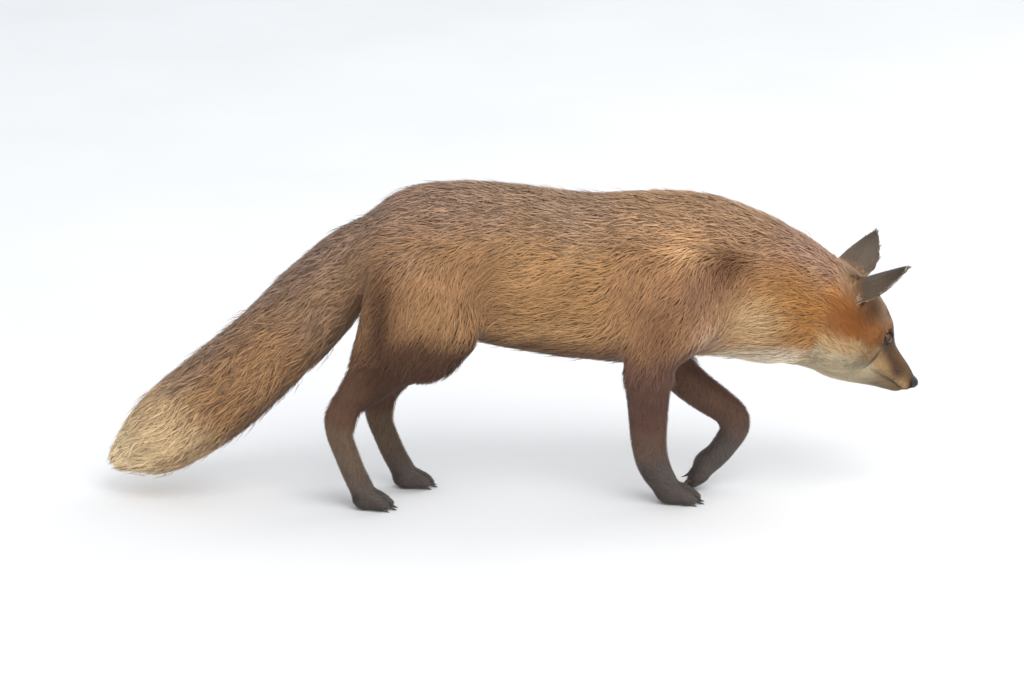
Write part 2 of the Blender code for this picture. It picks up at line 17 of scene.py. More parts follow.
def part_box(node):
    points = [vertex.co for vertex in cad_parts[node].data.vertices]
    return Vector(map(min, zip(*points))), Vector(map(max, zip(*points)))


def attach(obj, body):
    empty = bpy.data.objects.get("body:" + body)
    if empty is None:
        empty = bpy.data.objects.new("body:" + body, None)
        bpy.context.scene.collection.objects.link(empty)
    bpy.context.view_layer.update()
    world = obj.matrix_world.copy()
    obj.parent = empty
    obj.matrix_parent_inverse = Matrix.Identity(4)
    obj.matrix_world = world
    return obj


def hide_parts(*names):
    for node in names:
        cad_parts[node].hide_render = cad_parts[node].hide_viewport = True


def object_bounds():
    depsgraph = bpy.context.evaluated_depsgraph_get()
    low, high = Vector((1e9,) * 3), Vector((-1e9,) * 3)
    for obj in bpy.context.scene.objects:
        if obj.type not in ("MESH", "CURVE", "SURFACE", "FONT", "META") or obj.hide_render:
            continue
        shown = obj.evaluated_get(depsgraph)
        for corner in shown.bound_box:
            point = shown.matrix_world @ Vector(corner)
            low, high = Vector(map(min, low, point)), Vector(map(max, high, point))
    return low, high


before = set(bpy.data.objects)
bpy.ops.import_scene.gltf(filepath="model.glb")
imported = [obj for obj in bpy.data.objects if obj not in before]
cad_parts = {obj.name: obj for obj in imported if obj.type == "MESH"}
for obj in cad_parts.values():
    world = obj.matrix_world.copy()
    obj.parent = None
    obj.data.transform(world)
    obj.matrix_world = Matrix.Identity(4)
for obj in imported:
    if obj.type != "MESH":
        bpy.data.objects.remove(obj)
CAD_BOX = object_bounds()
NODES = sorted(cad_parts)

# -------- skin
SWELL = 0.0004  # makes the solids run into each other before they are melted into one
SKIN_GRID = 0.0026  # edge length of the skin, which is halved on the head, ears and paws
FINE_KINDS = ("head", "ear", "eye", "nose", "fore_paw", "hind_paw")
MELT_ROUNDS = 4  # of smoothing, where the solids' cuts were
SMOOTHING_ROUNDS = 12  # of the skin, where the coat is deepest
FILLING_ROUNDS = 110  # of the fold between the muzzle and the cheeks
FOLD = (0.078, 0.026)  # that fold's middle behind the nose tip, and its half length
FOLD_FILLING = 1.6
SWIRL = 0.20  # how far, beside its length, the hair's lie wavers to the side
SPREAD = 26  # rounds of averaging that blend each region's coat into the next
PALE_SHARE = 0.8  # how light the skin is beside the coat over it
LOOSE_END = (-0.050, -0.010)  # from the brush's end: where its tufts begin to gather, and where all do

# Each region's coat: depth, tuft length and half width, and its colours above, beside and below (sRGB); the
# darker colours below are partly painted shade.
COAT = {
    "head": (0.0035, 0.012, 0.0006, (172, 128, 88), (172, 112, 58), (206, 172, 128)),
    "ear": (0.0010, 0.007, 0.0004, (110, 95, 80), (110, 95, 80), (110, 95, 80)),
    "neck": (0.0105, 0.034, 0.0007, (174, 136, 112), (174, 121, 66), (236, 212, 178)),
    "chest": (0.0100, 0.034, 0.0007, (184, 144, 108), (166, 119, 76), (172, 140, 108)),
    "trunk": (0.0100, 0.036, 0.0007, (172, 138, 110), (178, 133, 86), (116, 84, 58)),
    "rump": (0.0100, 0.036, 0.0007, (170, 136, 112), (168, 126, 88), (112, 80, 54)),
    "tail_base": (0.0130, 0.040, 0.0009, (150, 122, 102), (152, 118, 88), (110, 84, 64)),
    "tail_middle": (0.0140, 0.044, 0.0009, (156, 126, 102), (170, 127, 86), (120, 92, 68)),
    "tail_tip": (0.0140, 0.044, 0.0009, (196, 158, 118), (222, 188, 142), (178, 144, 106)),
    "shoulder": (0.0080, 0.028, 0.0008, (196, 150, 106), (164, 120, 82), (118, 84, 62)),
    "forearm": (0.0026, 0.011, 0.0006, (120, 90, 72), (116, 86, 70), (108, 82, 66)),
    "fore_paw": (0.0016, 0.007, 0.0005, (104, 94, 87), (104, 94, 87), (92, 84, 78)),
    "thigh": (0.0080, 0.030, 0.0008, (172, 132, 98), (162, 120, 81), (90, 60, 40)),
    "shank": (0.0045, 0.017, 0.0007, (114, 80, 60), (110, 78, 60), (98, 70, 54)),
    "metatarsus": (0.0024, 0.010, 0.0005, (132, 108, 84), (128, 104, 82), (116, 96, 78)),
    "hind_paw": (0.0016, 0.007, 0.0005, (104, 94, 87), (104, 94, 87), (92, 84, 78)),
}
# Chains of nodes along which the hair lies, from the front backwards and from the top down.
CHAINS = [("neck", "chest", "trunk", "rump", "tail_base", "tail_middle", "tail_tip")]
for leg in (("shoulder", "forearm", "fore_paw"), ("thigh", "shank", "metatarsus", "hind_paw")):
    CHAINS += [tuple(kind + side for kind in leg) for side in ("_left", "_right")]
SWEEP = Vector((-0.30, 0, -0.22))  # the body's hair also leans back and down
SLIGHT_SWEEP = 0.3  # how much of that the brush and the lifted paw take
FLAT_PAWS = ("fore_paw_right", "hind_paw_right", "hind_paw_left")
PAW_LIE = Vector((1, 0, -0.35))

# -------- head, in its own axes
# Its axes: ahead of the nose tip, to its left, and towards its crown. Its left is side 1 and its right is -1.
EYES = {1: "eye_left", -1: "eye_right"}
EYE_AHEAD_TO_NOSE = Vector((0.0727, 0, -0.0148))  # from between the eyes to the nose's middle
NOSE_AHEAD = 0.0055  # from the nose's middle to its tip
NOSE_HALF_SIZES = Vector((0.0080, 0.0096, 0.0074))
BARE_NOSE = 1.12  # where the hair begins, in the nose's half sizes
GAZE = Vector((0.38, 0.87, 0.30)).normalized()
SLIT = Vector((-0.84, 0.32, 0.34))  # from the eye's inner to its outer corner
SLIT_HALF_LENGTH = 0.0076
SLIT_HALF_HEIGHT = 0.0037
LID_THICKNESS = 0.0015
LID_REACH = 0.016  # from the eye's middle
BARE_LID = 1.36  # where the hair begins, in the slit's half sizes
EYE_SINK = 0.25  # how far the skin goes in behind the slit, in the eye's radii
# Each ear's node, and the ways that it stands and opens: the right one is turned out and forwards.
EARS = {
    1: ("ear_left", (0.13, 0.50, 0.855), (0.88, 0.34, -0.30)),
    -1: ("ear_right", (0.07, 0.66, 0.75), (0.95, 0.14, -0.20)),
}
EAR_HALF_HEIGHT = 0.038
# Behind the nose tip: coat depth, tuft length and half width.
HEAD_COAT = [
    (0.000, 0.0008, 0.0030, 0.00035),
    (0.035, 0.0011, 0.0045, 0.00040),
    (0.065, 0.0014, 0.0060, 0.00045),
    (0.085, 0.0025, 0.0090, 0.00055),
    (0.110, 0.0045, 0.0150, 0.00070),
    (0.135, 0.0075, 0.0220, 0.00075),
    (0.170, 0.0100, 0.0280, 0.00080),
]
CROWN_SHARE = 0.6  # depth and length on the crown beside those on the cheeks
# The lip line on one side of the head, from under the nose to the corner of the mouth.
LIPS = [
    (-0.0075, 0.0030, -0.0105),
    (-0.014, 0.0090, -0.0135),
    (-0.030, 0.0125, -0.0150),
    (-0.048, 0.0160, -0.0185),
    (-0.062, 0.0215, -0.0200),
]
LIP_GROOVE = 0.0009  # its depth
LIP_WIDTH = 0.0011

# -------- markings
# Soft patches on both flanks: the middle and half sizes along x and z, the colour (sRGB) and its strength.
PATCHES = [
    ((0.266, 0.222), (0.030, 0.030), (228, 192, 144), 0.90),
    ((0.318, 0.240), (0.030, 0.030), (162, 106, 46), 0.60),
    ((0.236, 0.290), (0.023, 0.025), (100, 60, 30), 0.95),
    ((0.205, 0.256), (0.026, 0.026), (136, 98, 78), 0.60),
    ((0.182, 0.316), (0.021, 0.021), (222, 170, 120), 0.85),
    ((0.214, 0.200), (0.018, 0.022), (214, 176, 144), 0.65),
    ((0.158, 0.212), (0.022, 0.030), (112, 70, 46), 0.70),
    ((0.045, 0.212), (0.085, 0.013), (206, 160, 110), 0.50),
    ((-0.024, 0.282), (0.007, 0.044), (118, 86, 54), 0.45),
    ((0.010, 0.286), (0.018, 0.030), (196, 152, 104), 0.45),
    ((-0.140, 0.290), (0.010, 0.030), (112, 82, 56), 0.45),
]
# Each marking, laid over those before it: its region, colour (sRGB) and strength, its bells (axis, peak and
# size) and its soft steps (axis, where it starts, where it is full, and how much it wavers).
BODY_MARKS = [
    ("throat", (240, 222, 194), 1.0, [], [("z", 0.205, 0.165, 1), ("x", 0.175, 0.235, 0)]),
    *(("body", colour, strength, [("x", x, wide), ("z", z, high)], [("off", 0.015, 0.045, 0)])
      for (x, z), (wide, high), colour, strength in PATCHES),
    # The thigh's dark edge, partly painted shade, the painted shadow in the fold beside it, the forearm,
    # the brush's end, the feet and the painted shade in the toes' gaps.
    ("hind", (76, 48, 31), 0.92, [],
     [("z", 0.214, 0.192, 0.6), ("x", -0.178, -0.140, 0), ("off", 0.035, 0.050, 0)]),
    # Painted shadow in the fold between the thigh and the brush.
    ("hind", (84, 54, 34), 0.95, [("x", -0.148, 0.018)], [("z", 0.16, 0.20, 0), ("z", 0.30, 0.25, 0)]),
    ("arm", (104, 72, 60), 0.8, [],
     [("z", 0.205, 0.165, 1), ("z", 0.085, 0.105, 0), ("off", 0.025, 0.040, 0)]),
    ("brush", (240, 210, 164), 1.0, [], [("along", 0.012, 0.056, 0.6)]),
    ("body", (92, 82, 76), 0.7, [], [("z", 0.110, 0.024, 0.8), ("x", -0.24, -0.21, 0)]),
    # Painted shade in the gaps between the toes.
    ("toes", (46, 40, 37), 0.7, [], []),
]
# On the head the axes are: back from the nose tip, out to the side, up, and over the pale lower face's edge.
FACE_MARKS = [
    # The whole face, the crown, the cheeks and before the ears.
    ("face", (176, 116, 62), 1.0, [], []),
    ("face", (186, 150, 118), 1.0, [], [("up", 0.012, 0.034, 0), ("back", 0.075, 0.095, 0)]),
    ("face", (162, 93, 36), 0.9, [("back", 0.122, 0.030), ("up", 0.004, 0.026)], [("out", 0.015, 0.035, 0)]),
    ("face", (112, 76, 44), 0.8, [("back", 0.112, 0.013), ("up", 0.028, 0.016)], [("out", 0.012, 0.030, 0)]),
    # The bridge, the muzzle, partly painted shade, the lower face and its pale underside, the brows, and
    # painted shade on the chin.
    ("face", (128, 100, 74), 1.0, [], [("up", -0.004, 0.006, 0), ("back", 0.082, 0.070, 0)]),
    # The muzzle's darker tone, partly its own colour and partly painted shade.
    ("face", (142, 108, 76), 0.7, [], [("back", 0.060, 0.036, 0)]),
    ("face", (214, 174, 124), 1.0, [], [("over", 0.008, -0.008, 2)]),
    ("face", (232, 210, 172), 1.0, [], [("over", -0.010, -0.026, 2)]),
    ("face", (204, 172, 138), 0.6, [("back", 0.088, 0.012), ("up", 0.030, 0.010), ("out", 0.018, 0.012)], []),
    # Painted shade under the front of the lower jaw.
    ("face", (132, 110, 84), 0.8, [], [("back", 0.064, 0.034, 0), ("up", -0.010, -0.016, 0)]),
]
# The height of the pale lower face's edge at places behind the nose tip.
PALE_EDGE = [(0.0, -0.006), (0.03, -0.004), (0.065, 0.006), (0.10, -0.008), (0.14, -0.030), (0.18, -0.036)]
# The ears' foot, their dark tips and the pale hair in the cup.
EAR_MARKS = [
    ("back", (140, 104, 72), 1.0, [], [("height", 0.026, 0.006, 0)]),
    ("back", (72, 61, 53), 0.8, [], [("height", 0.036, 0.074, 0)]),
    ("ear", (224, 202, 172), 1.0, [], [("facing", 0.05, 0.40, 0)]),
]
EAR_BACK = 0.2  # the back of an ear faces its opening by less than this
TEAR_MARK = ((-0.071, 0.0195, 0.0085), (-0.030, 0.0135, -0.0015))  # from the eye to the muzzle
TEAR_WIDTHS = (0.0052, 0.0090)
TEAR_COLOUR = (88, 63, 45)
LID_COLOUR = (46, 34, 28)
NOSE_EDGE_COLOUR = (40, 34, 32)
LIP_COLOUR = (36, 28, 26)
LIP_MARK_WIDTH = 0.0013
# The share of dark-ended hairs: on the body, where it is full above and less below, and on the brush.
BODY_GRIZZLE = {"neck": 0.35, "chest": 0.5, "trunk": 0.55, "rump": 0.6}
BRUSH_GRIZZLE = {"tail_base": 0.5, "tail_middle": 0.45, "tail_tip": 0.12}
GRIZZLE_BELOW = 0.25
HEAD_GRIZZLE = 0.10
CLOUD_WAVES = 7
CLOUD_SUM = 3.2  # what keeps the sum of those waves between about -1 and 1


# -------- coat pieces
def pair(*kinds):
    """The left and right nodes of each kind."""
    return tuple(kind + side for kind in kinds for side in ("_left", "_right"))


# Each coat piece: the nodes it grows on, its tufts, its rings before the tip, and its material slot.
PIECES = {
    "coat_head": (("head",), 46000, 1, "russet_fur"),
    "coat_ears": (pair("ear"), 14000, 1, "dark_fur"),
    "coat_neck": (("neck",), 18500, 2, "russet_fur"),
    "coat_chest": (("chest", *pair("shoulder")), 19000, 2, "russet_fur"),
    "coat_trunk": (("trunk",), 18500, 2, "russet_fur"),
    "coat_rump": (("rump", *pair("thigh")), 19500, 2, "grizzled_fur"),
    "coat_tail": (("tail_base", "tail_middle"), 18500, 2, "grizzled_fur"),
    "coat_tail_tip": (("tail_tip",), 9000, 2, "cream_fur"),
    "coat_forelegs": (pair("forearm", "fore_paw"), 27000, 1, "dark_fur"),
    "coat_hindlegs": (pair("shank", "metatarsus", "hind_paw"), 27000, 1, "dark_fur"),
}
ROOT_DEPTH = 0.0006  # how far a tuft's root is sunk into the skin
# By the number of a tuft's rings: the share of the coat's depth that each ring and the tip reach, and their
# share of the full width.
WAY_UP = {1: (0.0, 1.0), 2: (0.0, 0.80, 1.0)}
GIRTH = {1: (1.0, 0.0), 2: (0.75, 1.0, 0.0)}
LENGTHS = (0.65, 1.25)  # the shortest and longest tufts beside their region's
WIDTHS = (0.75, 1.25)
RISES = (0.65, 1.08)
STRAY_SHARE = 0.04  # how many tufts stand up out of the coat, by up to this much more than its depth
STRAY_RISE = 0.5
STRAY_TURN = 0.15  # how far a tuft turns from the lie of the hair
RIDGE = 0.5  # a tuft's thickness beside its half width
RING = ((-1, 0), (1, 0), (0, RIDGE))  # a ring's corners: sideways, and up from the skin
TIP = ((0, 0),)
ROUNDING = 0.35  # how far a tuft's shading turns from its middle to its edges
GATHER = 0.35  # how far from its axis the brush's end still is, beside where its tufts root
GATHER_ENDS = (-0.030, 0.006)  # how far from the outline's end those tufts end
GATHER_SINK = 0.8  # how much less they rise
FLOOR_GAP = 0.0003
SOLE = 0.0012  # no hair grows below this height
UV_PATCH = 0.003
UV_NAME = "OFBake"

# -------- paws
# Each paw: its main pad's middle from the far, middle and low of its node's box, its turn and tilt in degrees
# and its scale.
PAWS = {
    "fore_paw_right": ((-0.0369, 0.0027, 0.0125), -3, 0, 1.0),
    "fore_paw_left": ((-0.0444, 0.0004, 0.0275), 2, 116, 1.0),
    "hind_paw_right": ((-0.0344, 0.0013, 0.0118), -5, 0, 0.93),
    "hind_paw_left": ((-0.0345, -0.0015, 0.0118), 6, 0, 0.93),
}
# Each toe, from its paw's main pad: how far to the left and ahead it is, and its spread in degrees.
TOES = [(-0.0128, 0.016, 11), (-0.0046, 0.024, 3), (0.0046, 0.024, -3), (0.0128, 0.016, -11)]
TOE_LOW = -0.0055
LONG_TOE = 0.024
TOE_GAP_WIDTH = 0.0017
TOE_GAP_DEPTH = 0.0038
CLAW_ROOT = Vector((0.0030, 0, -0.0035))  # from the toe's tip
CLAW_LENGTH = 0.0105
CLAW_RADIUS = 0.0019
CLAW_STEPS = 7
CLAW_DROOP = 22
CLAW_CURL = 34  # degrees that it bends down from root to point


# -------- small tools
def linear(colour):
    """An sRGB colour of 0 to 255 as linear light."""
    share = np.array(colour, float) / 255
    return np.where(share > 0.04045, ((share + 0.055) / 1.055) ** 2.4, share / 12.92)


def smoothstep(start, full, values):
    """Rises softly from 0 at the start to 1 where it is full, which may be the lower of the two."""
    t = np.clip((values - start) / (full - start), 0, 1)
    return t * t * (3 - 2 * t)


def bell(values, peak, size):
    """1 at the peak and softly less on both sides of it."""
    return np.exp(-(((values - peak) / size) ** 2))


def unit(rows):
    return rows / np.maximum(np.linalg.norm(rows, axis=-1, keepdims=True), 1e-9)


def dots(first, second):
    """The dot product of each pair of rows, as a column."""
    return (first * second).sum(axis=1, keepdims=True)


def along(ways, normals):
    """Unit ways that lie in the surface."""
    return unit(ways - normals * dots(ways, normals))


def square_to(way, axis):
    """The part of a way that is square to an axis, at unit length."""
    return (way - axis * way.dot(axis)).normalized()


def kind_of(node):
    return node.removesuffix("_left").removesuffix("_right")


def coat_of(node):
    """The coat's row for a node; the eyes and the nose take the head's."""
    return COAT.get(kind_of(node), COAT["head"])


def middle(node):
    low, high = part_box(node)
    return (low + high) / 2


def read(items, name, width, kind=np.float32):
    """A property of all a mesh's items as rows."""
    found = np.empty(len(items) * width, kind)
    items.foreach_get(name, found)
    return found.reshape(-1, width)


def corners_of(node):
    return read(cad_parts[node].data.vertices, "co", 3)


def new_object(name, mesh, material=None):
    made = bpy.data.objects.new(name, mesh)
    bpy.context.scene.collection.objects.link(made)
    if material:
        mesh.materials.clear()
        mesh.materials.append(material)
    return made


def mesh_of(form, name):
    """A bmesh as a mesh."""
    mesh = bpy.data.meshes.new(name)
    form.to_mesh(mesh)
    form.free()
    return mesh


def show(piece, slot, *nodes):
    """Puts a finished piece on the fox in place of the CAD nodes it stands for."""
    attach(piece, "root")
    if nodes:
        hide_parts(*nodes)


def search_tree(places):
    """A tree that finds the number of the nearest of these places."""
    tree = KDTree(len(places))
    for i, place in enumerate(places):
        tree.insert(place, i)
    tree.balance()
    return tree


def neighbour_mean(edges, count):
    """A function that averages a field over each vertex's neighbours."""
    ends = np.concatenate([edges, edges[:, ::-1]])
    ends = ends[np.argsort(ends[:, 0], kind="stable")]
    starts = np.searchsorted(ends[:, 0], np.arange(count))
    shares = np.bincount(ends[:, 0], minlength=count)[:, None]

    def mean(field):
        return np.add.reduceat(field[ends[:, 1]], starts, axis=0) / shares

    return mean


def head_frame():
    """The head's axes as columns, and the nose tip."""
    left_eye, right_eye, nose = middle("eye_left"), middle("eye_right"), middle("nose")
    left = (left_eye - right_eye).normalized()
    ahead = nose - (left_eye + right_eye) / 2
    rise = math.atan2(-EYE_AHEAD_TO_NOSE.z, EYE_AHEAD_TO_NOSE.x)
    forward = (Matrix.Rotation(-rise, 3, left) @ ahead).normalized()
    turn = Matrix((forward, left, forward.cross(left))).transposed()
    return turn, nose + forward * NOSE_AHEAD


HEAD_TURN, NOSE_TIP = head_frame()


def head_way(way, side=1):
    """A way in the head's axes, on its left (1) or right (-1), in the world."""
    return HEAD_TURN @ Vector((way[0], side * way[1], way[2]))


def from_head(place, side=1):
    """A place in the head's axes, in the world."""
    return NOSE_TIP + head_way(place, side)


def eye_axes(side):
    """Columns along the eye's slit, across it and out along its gaze."""
    gaze = head_way(GAZE, side)
    slit = square_to(head_way(SLIT, side), gaze)
    across = gaze.cross(slit)
    if across.dot(head_way((0, 0, 1))) < 0:
        across = -across
    return np.array([slit, across, gaze]).T


def at_eye(places, side):
    """World places in an eye's axes."""
    return (places - np.array(middle(EYES[side]))) @ eye_axes(side)


def eye_radius():
    low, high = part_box("eye_left")
    return max(high - low) / 2


def brush_end():
    """The way the brush points, and its outline's last place."""
    axis = unit(np.array(middle("tail_tip") - middle("tail_middle")))
    tip = corners_of("tail_tip")
    return axis, tip[(tip @ axis).argmax()].astype(float)


# -------- materials
HAIR_GRAIN = (2.2, 0.7, 90.0)  # of the hairs in a lock: across it, along it and from lock to lock
DARK_ENDS = (92, 70, 56)
DARK_END_SHARE = 0.7
IRIS_EDGE = 0.74
IRIS_COLOURS = ((66, 36, 14), (134, 80, 30))
EYE_WHITE = (70, 50, 38)
ROUND = (1, 1, 0)
PUPIL = (4.4, 1.8, 0)  # how narrow it is along the eye's own axes
PUPIL_COLOUR = (0.004, 0.003, 0.003, 1)
# Bare dark surfaces: the colour (sRGB), the roughness, and the grain's fineness and height.
LEATHERS = {
    "nose_leather": ((30, 27, 27), 0.34, 1500.0, 0.0004),
    "lid_rim": ((17, 13, 12), 0.62, 1800.0, 0.0002),
    "whisker": ((44, 36, 32), 0.40, 400.0, 0.0001),
    "claw_horn": ((66, 56, 48), 0.38, 500.0, 0.0002),
}


# The nodes that the looks are made of, by short names: kind, inputs in order, output and settings.
NODE_KINDS = {
    "place": ("TexCoord", (), "Object", {}),
    "x": ("SeparateXYZ", (0,), "X", {}),
    "y": ("SeparateXYZ", (0,), "Y", {}),
    "joined": ("CombineXYZ", (0, 1, 2), 0, {}),
    "times": ("Math", (0, 1), 0, {"operation": "MULTIPLY"}),
    "exceeds": ("Math", (0, 1), 0, {"operation": "GREATER_THAN"}),
    "turn": ("Math", (0, 1), 0, {"operation": "ARCTAN2"}),
    "scaled": ("VectorMath", (0, 1), 0, {"operation": "MULTIPLY"}),
    "length": ("VectorMath", (0,), "Value", {"operation": "LENGTH"}),
    "noise": ("TexNoise", ("Vector", "Scale", "Detail", "Roughness"), "Fac", {}),
    "cells": ("TexVoronoi", ("Vector", "Scale"), "Distance", {"feature": "SMOOTH_F1"}),
    "rise": ("MapRange", ("Value", "From Min", "From Max"), 0, {}),
    "span": ("MapRange", ("Value", "To Min", "To Max"), 0, {}),
    "mix": ("Mix", (0, 6, 7), 2, {"data_type": "RGBA"}),
    "tint": ("Mix", (0, 6, 7), 2, {"data_type": "RGBA", "blend_type": "MULTIPLY"}),
    "bump": ("Bump", ("Height", "Strength", "Distance"), 0, {}),
    "dent": ("Bump", ("Height", "Strength", "Distance"), 0, {"invert": True}),
    "field": ("Attribute", (), "Fac", {}),
    "colour_field": ("Attribute", (), "Color", {}),
    "alpha_field": ("Attribute", (), "Alpha", {}),
    "vector_field": ("Attribute", (), "Vector", {}),
}


class Look:
    """A material. A call adds a node by its short name, with its inputs, and gives its output."""

    def __init__(self, name):
        self.made = bpy.data.materials.new(name)
        self.made.use_nodes = True
        self.tree = self.made.node_tree

    def __call__(self, short, *values, **settings):
        kind, inputs, output, fixed = NODE_KINDS[short]
        node = self.tree.nodes.new("ShaderNode" + kind)
        for key, value in {**fixed, **settings}.items():
            setattr(node, key, value)
        self.feed(node, dict(zip(inputs, values)))
        return node.outputs[output]

    def feed(self, node, inputs):
        """Links or sets a node's inputs."""
        for key, value in inputs.items():
            if isinstance(value, bpy.types.NodeSocket):
                self.tree.links.new(value, node.inputs[key])
            else:
                node.inputs[key].default_value = value

    def ramp(self, factor, *stops):
        """A colour ramp from places and grey levels or colours."""
        node = self.tree.nodes.new("ShaderNodeValToRGB")
        self.feed(node, {"Fac": factor})
        elements = node.color_ramp.elements
        while len(elements) < len(stops):
            elements.new(0.5)
        for element, (place, level) in zip(elements, stops):
            element.position = place
            element.color = (level, level, level, 1) if isinstance(level, float) else (*level, 1)
        return node.outputs["Color"]

    def drive(self, inputs):
        """Drives the shader, which finishes the material."""
        self.feed(self.tree.nodes["Principled BSDF"], inputs)
        return self.made


def coat_material():
    """Hair in locks: grey wool at the root, the marking's own colour along it, and some dark or pale tips."""
    look = Look("coat")
    across, strand, chance = (look("field", attribute_name=name) for name in ("across", "strand", "chance"))
    # Single hairs run along each lock.
    places = [look("times", value, grain) for value, grain in zip((across, strand, chance), HAIR_GRAIN)]
    hairs = look("noise", look("joined", *places), 1.6, 3.0, 0.6)
    colour = look("colour_field", attribute_name="marking")
    colour = look("tint", 1, colour, look.ramp(strand, (0.0, 0.78), (0.35, 0.94), (0.75, 1.02), (1.0, 1.10)))
    colour = look("tint", 1, colour, look.ramp(hairs, (0.30, 0.80), (0.70, 1.18)))
    colour = look("tint", 1, colour, look.ramp(chance, (0.0, 0.84), (0.5, 1.0), (1.0, 1.16)))
    # Guard hairs with dark ends, as many as the marking's alpha asks for.
    wants = look("exceeds", look("alpha_field", attribute_name="marking"), chance)
    dark = look("times", look("times", wants, look("rise", strand, 0.45, 0.85)), DARK_END_SHARE)
    return look.drive({
        "Base Color": look("mix", dark, colour, (*linear(DARK_ENDS), 1)),
        "Roughness": look("span", hairs, 0.50, 0.78),
        "Normal": look("bump", hairs, 0.35, 0.0006),
        "Specular IOR Level": 0.28,
        "Sheen Weight": 0.12,
        "Sheen Roughness": 0.45,
    })


def skin_material():
    """Short wool close to the skin, in the markings' colours, with the hide's own grain."""
    look = Look("skin")
    wool = look("noise", look("place"), 900.0, 4.0, 0.65)
    patches = look("noise", look("place"), 60.0, 3.0)
    colour = look("colour_field", attribute_name="marking")
    colour = look("tint", 1, colour, look.ramp(wool, (0.3, 0.55), (0.7, 1.0)))
    return look.drive({
        "Base Color": look("tint", 1, colour, look.ramp(patches, (0.3, 0.85), (0.7, 1.08))),
        "Roughness": look("span", wool, 0.6, 0.9),
        "Normal": look("bump", wool, 0.6, 0.0008),
        "Specular IOR Level": 0.2,
    })


def eye_material():
    """An amber iris with fine spokes round an upright slit pupil, and a dark rim where it meets the white."""
    look = Look("eye")
    gaze = look("vector_field", attribute_name="iris_place")
    radius, slit = (look("length", look("scaled", gaze, shape)) for shape in (ROUND, PUPIL))
    turn = look("turn", look("y", gaze), look("x", gaze))
    spokes = look("noise", look("joined", look("times", turn, 9.0), look("times", radius, 2.0)), 3.0, 3.0)
    dark, light = (linear(colour) for colour in IRIS_COLOURS)
    iris = look.ramp(spokes, (0.3, dark), (0.7, light))
    iris = look("tint", 1, iris, look.ramp(radius, (0.30, 1.15), (0.62, 0.8), (IRIS_EDGE, 0.12)))
    colour = look("mix", look("rise", radius, IRIS_EDGE, 0.80), iris, (*linear(EYE_WHITE), 1))
    return look.drive({
        "Base Color": look("mix", look("rise", slit, 0.92, 1.0), PUPIL_COLOUR, colour),
        "Roughness": 0.16,
        "Coat Weight": 0.1,
        "Coat Roughness": 0.02,
        "Specular IOR Level": 0.3,
    })


def leather_material(name):
    """Bare dark skin or horn with a fine grain, for the nose, lid rims, whiskers and claws."""
    colour, roughness, grain, height = LEATHERS[name]
    look = Look(name)
    cloud = look("noise", look("place"), grain / 6, 4.0)
    return look.drive({
        "Base Color": look.ramp(cloud, (0.3, linear(colour) * 0.6), (0.7, linear(colour) * 1.5)),
        "Roughness": look("span", cloud, roughness - 0.1, roughness + 0.12),
        "Normal": look("dent", look("cells", look("place"), grain), 0.5, height),
    })


# -------- the skin
def melted_flesh():
    """All the CAD solids melted into one closed form, on a grid that is finer on the head, ears and paws."""
    form = bmesh.new()
    for node in NODES:
        form.from_mesh(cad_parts[node].data)
    bmesh.ops.remove_doubles(form, verts=form.verts, dist=1e-5)
    bmesh.ops.recalc_face_normals(form, faces=form.faces)
    form.normal_update()
    for vertex in form.verts:
        vertex.co += vertex.normal * SWELL
    flesh = new_object("flesh", mesh_of(form, "flesh"))
    remesh = flesh.modifiers.new("Remesh", "REMESH")
    remesh.mode = "VOXEL"
    remesh.voxel_size = SKIN_GRID
    smooth = flesh.modifiers.new("Smooth", "SMOOTH")
    smooth.iterations = MELT_ROUNDS
    bpy.context.view_layer.update()
    melted = bpy.data.meshes.new_from_object(flesh.evaluated_get(bpy.context.evaluated_depsgraph_get()))
    bpy.data.objects.remove(flesh)
    refine(melted)
    return melted


def refine(mesh):
    """Halves the grid where the skin has its finest shapes."""
    fine_nodes = np.array([kind_of(name) in FINE_KINDS for name in NODES])
    fine = fine_nodes[nearest_nodes(read(mesh.vertices, "co", 3))]
    form = bmesh.new()
    form.from_mesh(mesh)
    form.verts.ensure_lookup_table()
    edges = [edge for edge in form.edges if fine[edge.verts[0].index] and fine[edge.verts[1].index]]
    bmesh.ops.subdivide_edges(form, edges=edges, cuts=1, use_grid_fill=True)
    bmesh.ops.triangulate(form, faces=[face for face in form.faces if len(face.verts) > 4])
    form.to_mesh(mesh)
    form.free()


def nearest_nodes(places):
    """For each place, the number of the CAD node whose surface is nearest."""
    corners = [corners_of(name) for name in NODES]
    owners = np.repeat(np.arange(len(NODES)), [len(rows) for rows in corners])
    tree = search_tree(np.concatenate(corners))
    return np.array([owners[tree.find(place)[1]] for place in places])


def lie_of(node):
    """The way the hair lies on a node."""
    if node in FLAT_PAWS:
        return PAW_LIE.normalized()
    for chain in CHAINS:
        if node in chain:
            i = chain.index(node)
            way = middle(chain[min(i + 1, len(chain) - 1)]) - middle(chain[max(i - 1, 0)])
            lean = SLIGHT_SWEEP if "paw" in node or "tail" in node else 1.0
            return (way.normalized() + SWEEP * lean).normalized()
    for side, (ear, stand, _) in EARS.items():
        if node == ear:
            return head_way(stand, side).normalized()
    return head_way((-1, 0, 0))


